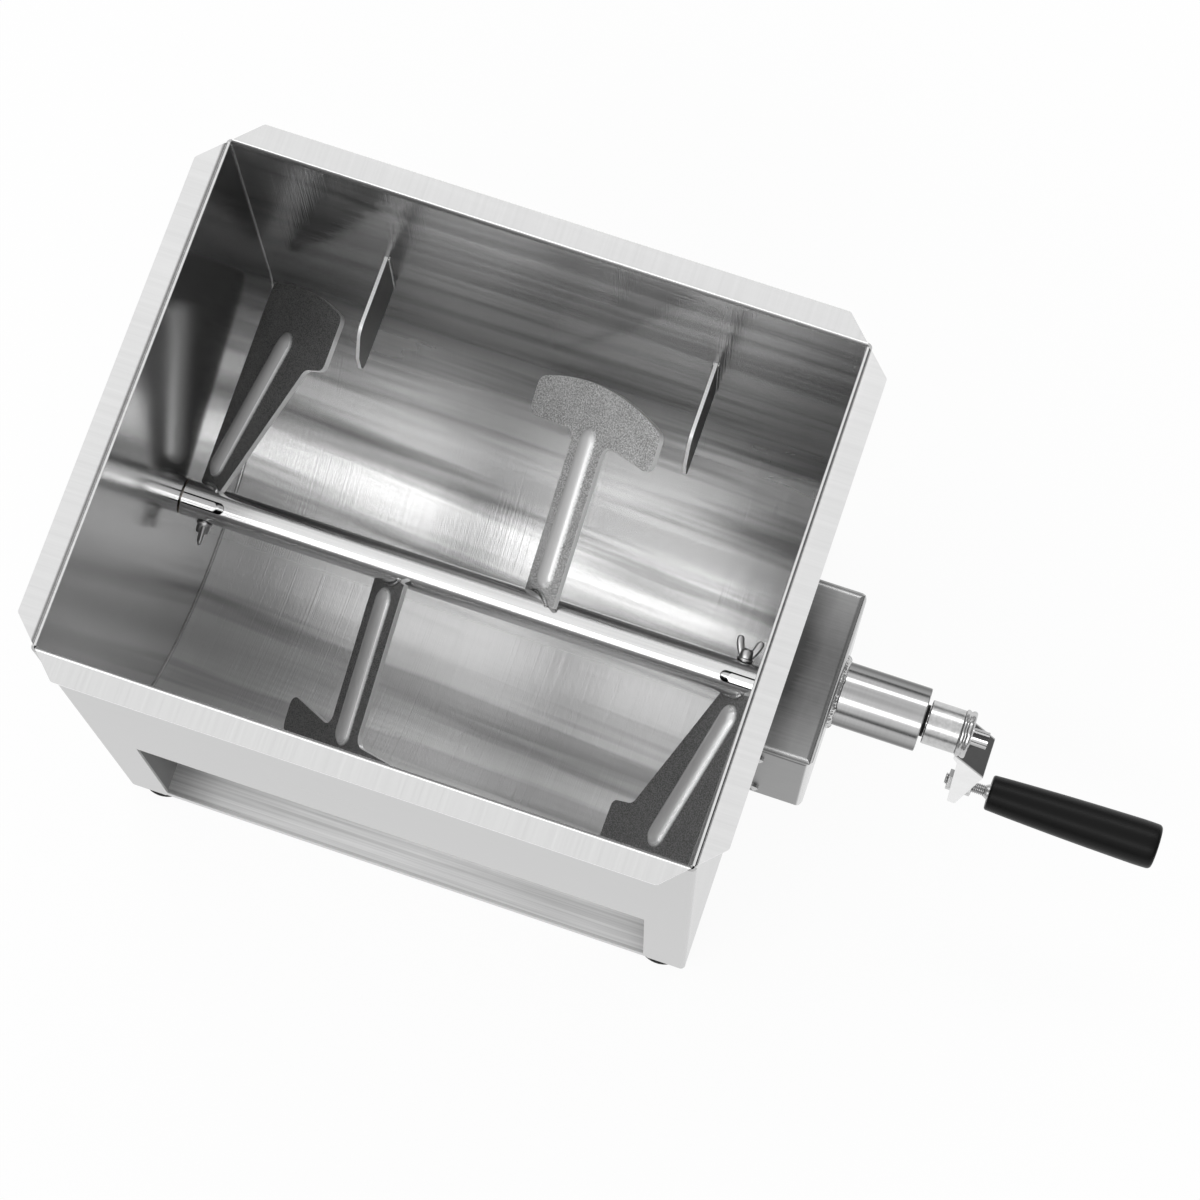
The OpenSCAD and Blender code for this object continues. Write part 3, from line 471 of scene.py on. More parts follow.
def stamped(name, dark, light, metal):
    """Stamping with a blasted speckle on its flat faces and a brushed rib and cut edges
    that are bright, partly for their polish and partly as a painted highlight.
    """
    material, graph = fresh(name)
    place = graph.place()
    speck = graph.noise(place, (1500.0, 1500.0, 1500.0), 1.0, 0.7)
    cloud = graph.noise(place, (38.0, 38.0, 38.0), 3.0, 0.55, STAMP_SHIFT)
    brush = graph.noise(place, (700.0, 30.0, 30.0), 3.0, 0.6)
    pits = graph.ramp(speck, 0.36, 0.64) * 0.9
    shade = graph.math("ADD", pits, cloud * 0.5 - 0.2, clamp=True)
    flat = dark_light(graph, shade, dark, light)
    # Painted highlight, partly also the polish of the metal: the rib and the cut edges go
    # near white.
    rib = dark_light(graph, brush, 0.88, 1.0)
    bright = graph.math("MAXIMUM", graph.attribute("raised"), graph.attribute("cut"))
    graph.surface({
        "Base Color": graph.mix(bright, flat, rib),
        "Metallic": metal + bright * 0.20,
        "Roughness": 0.50 - bright * 0.24,
        "Normal": graph.bump(speck, 0.00003),
    })
    return material


def baffle_sheet(name):
    """Wall plate: satin faces painted dark as painted shade, between cut edges painted
    bright as a painted highlight.
    """
    material, graph = fresh(name)
    place = graph.place()
    x, _, _ = graph.axes(place)
    face = abs(abs(x + MID_X) - BAFFLE_X) > BAFFLE_HALF
    speck = graph.noise(place, (60.0, 600.0, 600.0), 3.0, 0.6)
    cloud = graph.noise(place, (30.0, 30.0, 30.0), 3.0, 0.55, STAMP_SHIFT)
    # Painted shade on the faces, and a painted highlight on the cut edges.
    plain = dark_light(graph, speck * 0.6 + cloud * 0.4, 0.10, 0.26)
    edge = dark_light(graph, speck, 0.85, 1.0)
    graph.surface({
        "Base Color": graph.mix(face, edge, plain),
        "Metallic": 0.25 + face * 0.5,
        "Roughness": 0.34 + speck * 0.06,
        "Normal": graph.bump(speck, 0.000006),
    })
    return material


def blasted(name, dark, light, rough, size, depth):
    """Metal with a fine blasted speckle and soft clouds from handling."""
    material, graph = fresh(name)
    place = graph.place()
    speck = graph.noise(place, (size, size, size), 2.0, 0.6)
    cloud = graph.noise(place, (38.0, 38.0, 38.0), 3.0, 0.55, STAMP_SHIFT)
    shade = graph.math("ADD", speck * 0.7 + cloud * 0.6, -0.15, clamp=True)
    graph.surface({
        "Base Color": dark_light(graph, shade, dark, light),
        "Metallic": 1.0,
        "Roughness": rough - 0.08 + speck * 0.08 + cloud * 0.08,
        "Normal": graph.bump(speck, depth),
    })
    return material


def moulded(name, colour, deep, rough, size, depth):
    """Rubber or plastic with a fine skin; deep is the share of colour at the darker end
    of its mottling.
    """
    material, graph = fresh(name)
    place = graph.place()
    skin = graph.noise(place, (size, size, size), 2.0, 0.5)
    wear = graph.noise(place, (60.0, 60.0, 60.0), 3.0, 0.6, (4.0, 9.0, 1.0))
    light = (*colour, 1.0)
    dark = (*(level * deep for level in colour), 1.0)
    graph.surface({
        "Base Color": graph.mix(skin * 0.4 + wear * 0.6, dark, light),
        "Metallic": 0.0,
        "Roughness": rough - 0.04 + wear * 0.10,
        "Specular IOR Level": 0.16,
        "Normal": graph.bump(skin, depth),
    })
    return material


def make_materials(settings):
    """Every finish of the mixer, under the name that DRESS and the pieces use."""
    nylon = (0.012, 0.012, 0.012)
    grip = settings.grip_colour
    rubber = settings.foot_colour
    return {
        "trough": trough_sheet("trough sheet"),
        "end": end_sheet("end sheet"),
        "panel": panel_sheet("panel sheet"),
        # The gussets, seen in shadow through the windows, are painted near black as
        # painted shade.
        "gusset": blasted("gusset sheet", 0.07, 0.12, 0.35, 500.0, 0.00001),
        "baffle": baffle_sheet("baffle sheet"),
        "cover": cover_sheet("cover sheet"),
        # edge sets the share of painted shade on a bar's flanks.
        "polished": turned(
            "polished bar", 0.50, 0.72, 0.13, rings=1800.0, depth=0.000006, edge=0.5
        ),
        "cup": turned("polished cup", 0.46, 0.66, 0.13, rings=1800.0, depth=0.000006),
        "housing": turned(
            "housing tube", 0.24, 0.76, 0.17, rings=3000.0, depth=0.000001, edge=0.9
        ),
        "shaft": slotted_bar("slotted tube", 0.00298, 0.13465),
        "key": slotted_bar("slot key", 0.00222, 0.0),
        "hub": blasted("crank hub", 0.34, 0.72, 0.24, 420.0, 0.00002),
        "screw": turned("screw steel", 0.42, 0.60, 0.28),
        "weld": blasted("weld bead", 0.44, 0.74, 0.22, 500.0, 0.00003),
        "arm": arm_sheet("pressed arm"),
        # Lit and shaded copies of one stamping: the right T paddle painted light, the
        # other paddles painted darker as painted shade.
        "paddle": stamped("blasted stamping", 0.11, 0.33, 0.30),
        "paddle painted light": stamped("stamping painted light", 0.24, 0.92, 0.05),
        "gear": turned("cut gear", 0.32, 0.44, 0.34),
        "bronze": turned("bearing bronze", 0.36, 0.46, 0.34, warm=0.28),
        "nylon": moulded("bearing nylon", nylon, 0.5, 0.5, 900.0, 0.00001),
        "rubber": moulded("foot rubber", rubber, 0.4, 0.62, 1500.0, 0.00004),
        "grip": moulded("grip plastic", grip, 0.4, 0.36, 900.0, 0.00001),
    }


# The finishes once they are made, and the CAD nodes that wear each of them.
MADE = {}
DRESS = {
    "trough": ["trough"],
    "end": [
        "left_tank_wall", "right_tank_wall", "left_side_plate", "right_side_plate",
    ],
    "panel": ["front_panel", "back_panel"],
    "gusset": ["post_gussets"],
    "baffle": ["left_baffle", "right_baffle"],
    "cover": ["gearbox_base", "gearbox_cover"],
    "polished": ["left_axle", "output_shaft", "crank_shaft"],
    "cup": ["foot_cups", "handle_spindle"],
    "housing": ["left_boss", "bearing_housing", "housing_collar"],
    "shaft": ["mixing_shaft"],
    "key": ["left_key", "output_key"],
    "hub": ["crank_hub", "hub_collar"],
    "screw": [
        "foot_bolts", "foot_nuts", "cover_screws", "wing_screws", "left_ring", "gear_key",
        "gear_ring", "pinion_pin", "spindle_nuts",
    ],
    "arm": ["crank_arm"],
    # The right T paddle wears the copy painted light, the others the copy painted dark.
    "paddle": ["left_end_paddle", "left_t_paddle", "right_end_paddle"],
    "paddle painted light": ["right_t_paddle"],
    "gear": ["drive_gear", "pinion"],
    "bronze": ["left_bush", "output_bush", "pilot_bush"],
    "nylon": ["inner_crank_bush", "outer_crank_bush"],
    "rubber": ["foot_pads"],
    "grip": ["grip"],
}


def clothe(obj, material):
    """Gives an object one material."""
    obj.data.materials.clear()
    obj.data.materials.append(material)


def finish_piece(name, shape, material, body, replaced=(), sharp=35.0):
    """Turns a bmesh into a piece that rides on a body; sharp is in degrees."""
    bmesh.ops.recalc_face_normals(shape, faces=shape.faces)
    mesh = bpy.data.meshes.new(name)
    shape.to_mesh(mesh)
    shape.free()
    mesh.shade_smooth()
    mesh.set_sharp_from_angle(angle=math.radians(sharp))
    piece = bpy.data.objects.new(name, mesh)
    bpy.context.scene.collection.objects.link(piece)
    clothe(piece, material)
    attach(piece, body)
    if replaced:
        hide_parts(*replaced)
    return piece


def soften(piece, width):
    """Rounds the edges of a piece."""
    rounding = piece.modifiers.new("rounded edges", "BEVEL")
    rounding.width = width
    rounding.segments = 2
    rounding.limit_method = "ANGLE"
    rounding.angle_limit = math.radians(32)
    rounding.harden_normals = True
    return piece


def mark_ribs(piece, name):
    """Marks a paddle's raised points, from 0 to 1, and the faces of its cut edge."""
    back = next(paddle_frame(*row[1:4]).inverted() for row in PADDLES if row[0] == name)
    layer = piece.data.attributes.new("raised", "FLOAT", "POINT")
    for vert, item in zip(piece.data.vertices, layer.data):
        out = abs((back @ vert.co).z)
        item.value = min(1.0, max(0.0, (out - 0.0014) / 0.0010))
    layer = piece.data.attributes.new("cut", "FLOAT", "FACE")
    turn = back.to_3x3()
    for face, item in zip(piece.data.polygons, layer.data):
        upright = abs((turn @ face.normal).z) < 0.3
        item.value = float(upright and abs((back @ face.center).z) < 0.0012)


def softened_copy(node, width):
    """Copy of a dressed CAD node, made one skin, with its sharp edges rounded."""
    source = frame["nodes"][node]
    material = source.data.materials[0]
    shape = bmesh.new()
    shape.from_mesh(source.data)
    bmesh.ops.remove_doubles(shape, verts=shape.verts, dist=MERGE)
    bmesh.ops.dissolve_limit(
        shape, angle_limit=math.radians(0.4), verts=shape.verts, edges=shape.edges
    )
    piece = finish_piece(
        node + ".rounded", shape, material, source["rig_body"], [node], 32.0
    )
    if node.endswith("_paddle"):
        mark_ribs(piece, node)
    return soften(piece, width)


def join(shape, own):
    """Moves the faces of one bmesh into another and frees it."""
    carrier = bpy.data.meshes.new("carrier")
    own.to_mesh(carrier)
    own.free()
    shape.from_mesh(carrier)
    bpy.data.meshes.remove(carrier)


def lathe(shape, profile, centre, segments, lump=None):
    """Turns a closed outline of (x, radius) points about an X axis through the centre.

    lump moves each point, given with its angle round the axis.
    """
    verts = [shape.verts.new((x, 0.0, radius)) for x, radius in profile]
    edges = [shape.edges.new(pair) for pair in zip(verts, verts[1:] + verts[:1])]
    bmesh.ops.spin(
        shape, geom=verts + edges, cent=(0, 0, 0), axis=(1, 0, 0),
        angle=math.tau, steps=segments, use_merge=True,
    )
    bmesh.ops.remove_doubles(shape, verts=shape.verts, dist=MERGE)
    if lump:
        for vert in shape.verts:
            angle = math.atan2(vert.co.z, vert.co.y)
            vert.co = lump(vert.co, angle)
    bmesh.ops.translate(shape, verts=shape.verts, vec=centre)


def waver(angle, seed):
    """Uneven swing between -1 and 1 round a circle; half the angle leaves one step."""
    return (
        math.sin(7 * angle + seed) * 0.45
        + math.sin(13 * angle + 2.3 * seed) * 0.33
        + math.sin(29 * angle + 4.1 * seed) * 0.22
    )


def bead(shape, points, radius, sides=10, ripple=0.16, seed=0.0):
    """Adds a rippled weld bead along a line of points, thinner at its two ends."""
    last = len(points) - 1
    rings = []
    run = 0.0
    for i, point in enumerate(points):
        along = (points[min(i + 1, last)] - points[max(i - 1, 0)]).normalized()
        run += (point - points[max(i - 1, 0)]).length
        swell = 1.0 + ripple * math.sin(math.tau * run / RIPPLE_PITCH)
        swell += 0.12 * math.sin(run * 700 + seed)
        if i in (0, last):
            swell *= TAPER
        turn = along.to_track_quat("Z", "Y").to_matrix().to_4x4()
        ring = bmesh.ops.create_circle(
            shape, cap_ends=i in (0, last), segments=sides,
            radius=radius * swell, matrix=Matrix.Translation(point) @ turn,
        )["verts"]
        rings.append(list({edge for vert in ring for edge in vert.link_edges}))
    for first, second in zip(rings, rings[1:]):
        bmesh.ops.bridge_loops(shape, edges=first + second)


def tank_place(x, y, z):
    """A point given in millimetres from the middle of the tank."""
    return Vector((x / 1000.0 - MID_X, y / 1000.0, z / 1000.0))


def resampled(points, step):
    """Points at even steps along a line."""
    made = [points[0]]
    left = step
    for first, second in zip(points, points[1:]):
        length = (second - first).length
        at = left
        while at < length:
            made.append(first.lerp(second, at / length))
            at += step
        left = at - length
    made.append(points[-1])
    return made


def paddle_frame(x, phase, pitch):
    """Place of a paddle plate, whose own Y points away from the shaft; x is in mm."""
    return (
        Matrix.Translation((x / 1000.0 - MID_X, 0.0, SHAFT_Z))
        @ Matrix.Rotation(math.radians(phase), 4, "X")
        @ Matrix.Rotation(math.radians(-pitch), 4, "Y")
    )


# Paddle, its place along the tank in mm, its angle round the shaft and its pitch in
# degrees, and half the length of its weld in mm.
PADDLES = [
    ("left_end_paddle", -142.0, 10.0, 50.0, 7.4),
    ("right_end_paddle", 142.0, 190.0, 130.0, 7.4),
    ("right_t_paddle", 34.0, 22.0, 50.0, 9.4),
    ("left_t_paddle", -41.0, 202.0, 130.0, 9.4),
]


def make_root_welds(materials, radius):
    """Weld beads where the paddle plates meet the tube, on both faces."""
    for name, x, phase, pitch, half in PADDLES:
        shape = bmesh.new()
        place = paddle_frame(x, phase, pitch)
        lean = math.radians(pitch)
        reach = TUBE_RADIUS / math.sin(lean)
        for side in (-1, 1):
            line = []
            shift = -side * PLATE_FACE / math.tan(lean)
            for k in range(61):
                u = half * (k / 30 - 1)
                part = 1.0 - ((u - shift) / reach) ** 2
                v = TUBE_RADIUS * math.sqrt(max(0.0, part)) + 0.1
                line.append(place @ (Vector((u, v, side * PLATE_FACE)) / 1000))
            bead(shape, resampled(line, 0.0003), radius, seed=x + side)
        weld = materials["weld"]
        finish_piece(name + ".weld", shape, weld, "mixer", sharp=80)


def make_baffle_welds(materials, radius):
    """Weld beads between the baffles and the back wall."""
    shape = bmesh.new()
    for x in (-BAFFLE_X * 1000, BAFFLE_X * 1000):
        for side in (-1, 1):
            line = [
                tank_place(x + side * 1.1, TROUGH_RADIUS - 0.1, z) for z in (197.0, 240.0)
            ]
            bead(shape, resampled(line, 0.0004), radius, seed=x)
    weld = materials["weld"]
    finish_piece("baffle.welds", shape, weld, "stand", sharp=80)


def make_corner_welds(materials, radius):
    """Ground fillets between the round trough and the end walls."""
    low = SHAFT_Z * 1000
    top = RIM_Z * 1000 - 3.0
    shape = bmesh.new()
    for x in (-CORNER_X, CORNER_X):
        line = [tank_place(x, TROUGH_RADIUS, top), tank_place(x, TROUGH_RADIUS, low)]
        for k in range(1, 48):
            turn = math.pi * k / 48
            out = TROUGH_RADIUS * math.cos(turn)
            line.append(tank_place(x, out, low - TROUGH_RADIUS * math.sin(turn)))
        line += [tank_place(x, -TROUGH_RADIUS, low), tank_place(x, -TROUGH_RADIUS, top)]
        bead(shape, resampled(line, 0.004), radius, sides=8, ripple=0.0)
    weld = materials["weld"]
    finish_piece("corner.welds", shape, weld, "stand", sharp=80)


def make_weld_rings(materials):
    """Uneven weld rings on the bearing housing and on the crank hub."""
    centre = (-MID_X, 0.0, CRANK_Z)

    def bulge(co, angle):
        size = math.hypot(co.y, co.z)
        if size < 0.0162:
            return co
        swell = 0.0005 * waver(angle, 1.0) + 0.0003 * math.sin(angle * 61)
        out = 1.0 + swell / size
        lift = 0.0004 * waver(angle, 4.0) if co.x > 0.1904 else 0.0
        return Vector((co.x + lift, co.y * out, co.z * out))

    shape = bmesh.new()
    outline = [
        (0.19002, 0.01603), (0.19002, 0.01840), (0.1904, 0.01830), (0.1911, 0.01800),
        (0.1917, 0.01750), (0.1921, 0.01690), (0.1923, 0.01630), (0.1923, 0.01603),
    ]
    lathe(shape, outline, centre, 180, bulge)
    finish_piece(
        "housing.weld", shape, materials["weld"], "stand",
        ["housing_collar"], 60,
    )

    def melt(co, angle):
        size = math.hypot(co.y, co.z)
        if size < 0.0065:
            return co
        out = 1.0 + 0.0004 * waver(angle * 0.5, 2.0) / size
        side = 0.0004 * waver(angle * 0.5, 6.0) if 0.2535 < co.x < 0.258 else 0.0
        return Vector((co.x + side, co.y * out, co.z * out))

    shape = bmesh.new()
    outline = [
        (0.2530, 0.00603), (0.2530, 0.01120), (0.2533, 0.01165), (0.2539, 0.01190),
        (0.2546, 0.01178), (0.2550, 0.01140), (0.2554, 0.01125), (0.2558, 0.01150),
        (0.2564, 0.01190), (0.2573, 0.01195), (0.2580, 0.01165), (0.2584, 0.01110),
        (0.2585, 0.01040), (0.2585, 0.00603),
    ]
    lathe(shape, outline, centre, 180, melt)
    finish_piece(
        "hub.weld", shape, materials["hub"], "crank", ["hub_collar"], 60
    )


def make_grip(materials):
    """Turned grip with a fine moulding line at its outer end."""
    outline = [(0.2795, 0.00405), (0.2795, 0.0082)]
    for k in range(1, 7):
        turn = math.pi / 2 * k / 6
        along = 0.0013 * (1 - math.cos(turn))
        outline.append((0.2795 + along, 0.0082 + 0.0012 * math.sin(turn)))
    for k in range(1, 13):
        share = k / 12
        swell = 0.0003 * math.sin(math.pi * share)
        outline.append((0.2835 + 0.0750 * share, 0.0096 + 0.0024 * share + swell))
    outline += [(0.3600, 0.01203), (0.3650, 0.01200), (0.3680, 0.01188)]
    for k in range(1, 9):
        turn = math.pi / 2 * k / 8
        along = 0.0020 * math.sin(turn)
        outline.append((0.3680 + along, 0.0098 + 0.0020 * math.cos(turn)))
    outline += [(0.3700, 0.0060), (0.3696, 0.0052), (0.3696, 0.0), (0.3605, 0.0)]
    outline += [(0.3605, 0.0063), (0.3555, 0.0063), (0.3555, 0.00405)]
    shape = bmesh.new()
    lathe(shape, outline, (-MID_X, 0.0, HANDLE_Z), 128)
    finish_piece(
        "grip.turned", shape, materials["grip"], "handle", ["grip"], 50
    )


def threaded(shape, x0, x1, radius, pitch, depth, centre):
    """Adds a screw thread along X with closed, cut ends."""
    turns = math.ceil((x1 - x0) / pitch) + 2
    start = x0 - pitch
    root = radius - depth
    outline = [(0.0, root), (0.40, radius), (0.56, radius), (0.96, root), (1.0, root)]
    own = bmesh.new()
    verts = [own.verts.new((start + at * pitch, 0.0, size)) for at, size in outline]
    edges = [own.edges.new(pair) for pair in zip(verts, verts[1:])]
    bmesh.ops.spin(
        own, geom=verts + edges, cent=(0, 0, 0), axis=(1, 0, 0),
        dvec=(pitch / THREAD_STEPS, 0, 0), angle=math.tau * turns,
        steps=THREAD_STEPS * turns,
    )
    bmesh.ops.remove_doubles(own, verts=own.verts, dist=MERGE * 5)
    for place, away in ((x0, -1), (x1, 1)):
        cut = bmesh.ops.bisect_plane(
            own, geom=own.verts[:] + own.edges[:] + own.faces[:],
            plane_co=(place, 0, 0), plane_no=(away, 0, 0), clear_outer=True,
        )["geom_cut"]
        rim = [item for item in cut if isinstance(item, bmesh.types.BMEdge)]
        bmesh.ops.edgeloop_fill(own, edges=rim)
    bmesh.ops.translate(own, verts=own.verts, vec=centre)
    join(shape, own)


def make_spindle(materials, pitch):
    """Handle spindle with its cut thread and its turned head."""
    centre = (-MID_X, 0.0, HANDLE_Z)
    shape = bmesh.new()
    outline = [
        (0.2770, 0.0), (0.2770, 0.0030), (0.2788, 0.0040), (0.3559, 0.0040),
        (0.3559, 0.0056), (0.3563, 0.0060), (0.3596, 0.0060), (0.3600, 0.0056),
        (0.3600, 0.0),
    ]
    lathe(shape, outline, centre, 64)
    threaded(shape, 0.2560, 0.2785, 0.0030, pitch, 0.00055, centre)
    finish_piece(
        "spindle.threaded", shape, materials["screw"], "crank",
        ["handle_spindle"], 40,
    )


# Wing screw in mm: (height, radius) of its boss from the shaft's axis, and height, place
# to the side, half width and half thickness along one ear.
WING_BOSS = [
    (4.9, 0.0), (4.9, 2.2), (5.2, 2.5), (9.62, 2.5), (9.62, 4.0), (9.9, 4.25),
    (10.5, 4.25), (10.8, 4.0), (10.9, 3.5), (11.4, 3.55), (13.4, 3.6), (14.9, 3.3),
    (15.4, 2.9), (15.5, 2.5), (15.3, 2.15), (14.7, 2.0), (14.5, 1.6), (14.5, 0.0),
]
WING_EAR = [
    (11.9, 2.3, 1.5, 1.5), (13.2, 3.0, 1.8, 1.5), (14.8, 3.7, 1.9, 1.45),
    (16.6, 4.4, 1.95, 1.35), (18.4, 5.0, 1.95, 1.2), (19.8, 5.3, 1.8, 1.05),
    (20.7, 5.4, 1.35, 0.85), (21.1, 5.4, 0.7, 0.5),
]
WING_X = 0.141


def wing_screw():
    """One wing screw: a collared boss with a hollow top and two curved ears."""
    own = bmesh.new()
    lathe(own, [(along / 1000, out / 1000) for along, out in WING_BOSS], (0, 0, 0), 40)
    last = len(WING_EAR) - 1
    for hand in (-1, 1):
        rings = []
        for k, (along, out, wide, thick) in enumerate(WING_EAR):
            place = Matrix.Translation((along / 1000, 0.0, hand * out / 1000))
            tilt = Matrix.Rotation(math.radians(90 - hand * (30 - 4 * k)), 4, "Y")
            size = Matrix.Diagonal((wide / 1000, thick / 1000, 1.0, 1.0))
            ring = bmesh.ops.create_circle(
                own, cap_ends=k in (0, last), segments=16, radius=1.0,
                matrix=place @ tilt @ size,
            )["verts"]
            rings.append(list({edge for vert in ring for edge in vert.link_edges}))
        for first, second in zip(rings, rings[1:]):
            bmesh.ops.bridge_loops(own, edges=first + second)
    return own


def make_wing_screws(materials):
    """The two wing screws, at opposite sides of the shaft's ends."""
    shape = bmesh.new()
    for side in (-1, 1):
        own = wing_screw()
        place = (
            Matrix.Translation((side * WING_X - MID_X, 0.0, SHAFT_Z))
            @ Matrix.Rotation(SLOT_TURN - side * math.radians(90), 4, "X")
            @ Matrix.Rotation(math.radians(75 if side < 0 else 0), 4, "Z")
            @ Matrix.Rotation(math.radians(-90), 4, "Y")
        )
        bmesh.ops.transform(own, matrix=place, verts=own.verts)
        join(shape, own)
    finish_piece(
        "wing_screws.cast", shape, materials["screw"], "mixer",
        ["wing_screws"], 38,
    )


# CAD nodes that get rounded edges, with the rounding in parts of the edge rounding that
# the settings give, and their slot in the record.
ROUNDED = [
    ("crank_arm", 1.0, "arm_steel"),
    ("crank_hub", 1.25, "machined_steel"),
    ("crank_shaft", 0.75, "machined_steel"),
    ("bearing_housing", 1.5, "machined_steel"),
    ("left_boss", 1.5, "machined_steel"),
    ("spindle_nuts", 1.0, "machined_steel"),
    ("cover_screws", 0.75, "machined_steel"),
    ("left_baffle", 0.5, "sheet_steel"),
    ("right_baffle", 0.5, "sheet_steel"),
    ("left_end_paddle", 1.0, "satin_steel"),
    ("left_t_paddle", 1.0, "satin_steel"),
    ("right_t_paddle", 1.0, "satin_steel"),
    ("right_end_paddle", 1.0, "satin_steel"),
]


def add_area(name, place, target, size, power):
    """A long soft lamp that faces the target."""
    data = bpy.data.lights.new(name, "AREA")
    data.shape = "RECTANGLE"
    data.size, data.size_y = size
    data.energy = power
    lamp = bpy.data.objects.new(name, data)
    bpy.context.scene.collection.objects.link(lamp)
    lamp.location = place
    away = Vector(target) - Vector(place)
    lamp.rotation_euler = away.to_track_quat("-Z", "Y").to_euler()


# The photograph's camera, solved from the corners of the rim.
CAMERA_PLACE = (0.105653, -0.368659, 1.858761)
CAMERA_RIGHT = (0.94670, 0.32202, -0.00749)
CAMERA_AHEAD = (-0.08230, 0.21934, -0.97217)
CAMERA_LENS = 104.53  # mm, on a sensor of 36 mm


def add_camera():
    """Camera at the photograph's viewing angle."""
    data = bpy.data.cameras.new("camera")
    data.sensor_width = 36.0
    data.lens = CAMERA_LENS
    data.clip_end = 50.0
    camera = bpy.data.objects.new("camera", data)
    bpy.context.scene.collection.objects.link(camera)
    right = Vector(CAMERA_RIGHT).normalized()
    ahead = Vector(CAMERA_AHEAD).normalized()
    turn = Matrix((right, right.cross(ahead), -ahead)).transposed().to_4x4()
    camera.matrix_world = Matrix.Translation(CAMERA_PLACE) @ turn
    bpy.context.scene.camera = camera


def add_floor():
    """Pale paper floor that shows white, and keeps a little of the mixer's shadow."""
    mesh = bpy.data.meshes.new("floor")
    shape = bmesh.new()
    bmesh.ops.create_grid(shape, x_segments=8, y_segments=8, size=30.0)
    shape.to_mesh(mesh)
    shape.free()
    floor = bpy.data.objects.new("floor", mesh)
    bpy.context.scene.collection.objects.link(floor)
    material, graph = fresh("floor paper")
    path = graph.node("ShaderNodeLightPath").outputs
    seen = Wire(graph, path["Is Camera Ray"]) + Wire(graph, path["Is Glossy Ray"])
    seen = seen + Wire(graph, path["Is Transmission Ray"])
    paper = graph.wire("ShaderNodeBsdfDiffuse", values={"Color": grey(0.9)})
    glow = {"Color": grey(1.0), "Strength": 1.0}
    white = graph.wire("ShaderNodeEmission", values=glow)
    factor = graph.math("MINIMUM", seen, 1.0) * 0.93
    both = graph.wire("ShaderNodeMixShader", values={0: factor, 1: paper, 2: white})
    graph.node("ShaderNodeOutputMaterial", values={"Surface": both})
    clothe(floor, material)


def set_world():
    """White paper up to the horizon, a dim room above it, and a pale ceiling."""
    world = bpy.data.worlds.new("studio")
    bpy.context.scene.world = world
    world.use_nodes = True
    graph = Graph(world.node_tree)
    x, _, z = graph.axes(graph.wire("ShaderNodeTexCoord", output=0))
    room = graph.mix(graph.ramp(z, 0.0, 0.08), grey(1.0), grey(0.08))
    ceiling = graph.mix(graph.ramp(x, 0.15, 0.6), grey(0.96), grey(0.30))
    colour = graph.mix(graph.ramp(z, 0.18, 0.40), room, ceiling)
    values = {"Color": colour, "Strength": 1.0}
    back = graph.wire("ShaderNodeBackground", values=values)
    graph.node("ShaderNodeOutputWorld", values={"Surface": back})


class MIXER_PG_settings(bpy.types.PropertyGroup):
    """Sizes, colours and levels that the picture is made from"""

    grip_colour: bpy.props.FloatVectorProperty(
        name="Grip",
        description="Colour of the turned grip",
        default=(0.005, 0.005, 0.005),
        min=0.0,
        max=1.0,
        subtype="COLOR",
    )
    foot_colour: bpy.props.FloatVectorProperty(
        name="Foot pads",
        description="Colour of the rubber under the feet",
        default=(0.03, 0.03, 0.03),
        min=0.0,
        max=1.0,
        subtype="COLOR",
    )
    rounding: bpy.props.FloatProperty(
        name="Edge rounding",
        description="Width of the rounding along the edges of the paddles and the arm",
        default=0.0004,
        min=0.0001,
        max=0.0005,
        precision=5,
        unit="LENGTH",
    )
    root_bead: bpy.props.FloatProperty(
        name="Paddle bead",
        description="Radius of the weld beads at the roots of the paddles",
        default=0.00115,
        min=0.0005,
        max=0.0015,
        precision=5,
        unit="LENGTH",
    )
    wall_bead: bpy.props.FloatProperty(
        name="Wall bead",
        description="Radius of the beads at the baffles and in the corners of the tank",
        default=0.0009,
        min=0.0005,
        max=0.0012,
        precision=5,
        unit="LENGTH",
    )
    thread_pitch: bpy.props.FloatProperty(
        name="Thread pitch",
        description="Pitch of the thread on the handle spindle",
        default=0.0010,
        min=0.0007,
        max=0.0015,
        precision=5,
        unit="LENGTH",
    )
    key_power: bpy.props.FloatProperty(
        name="Key light",
        description="Power of the long light behind the mixer",
        default=14.0,
        min=0.0,
        unit="POWER",
    )
    fill_power: bpy.props.FloatProperty(
        name="Fill light",
        description="Power of the long light in front of the mixer",
        default=14.0,
        min=0.0,
        unit="POWER",
    )


class MIXER_OT_dress(bpy.types.Operator):
    """Gives every CAD node its material"""

    bl_idname = "mixer.dress"
    bl_label = "Dress CAD nodes"

    def execute(self, context):
        MADE.update(make_materials(context.scene.mixer))
        dressed = set()
        for key, names in DRESS.items():
            for name in names:
                clothe(frame["nodes"][name], MADE[key])
                dressed.add(name)
        bare = set(frame["nodes"]) - dressed
        if bare:
            raise ValueError("nodes without a material: " + ", ".join(sorted(bare)))
        return {"FINISHED"}


class MIXER_OT_rounded(bpy.types.Operator):
    """Rounds the sharp edges of the parts that stand in view"""

    bl_idname = "mixer.rounded"
    bl_label = "Round the edges"

    def execute(self, context):
        for node, share, slot in ROUNDED:
            softened_copy(node, share * context.scene.mixer.rounding)
        return {"FINISHED"}


class MIXER_OT_beads(bpy.types.Operator):
    """Lays the weld beads of the paddles, the baffles and the corners"""

    bl_idname = "mixer.beads"
    bl_label = "Lay the weld beads"

    def execute(self, context):
        settings = context.scene.mixer
        make_root_welds(MADE, settings.root_bead)
        make_baffle_welds(MADE, settings.wall_bead)
        make_corner_welds(MADE, settings.wall_bead)
        return {"FINISHED"}


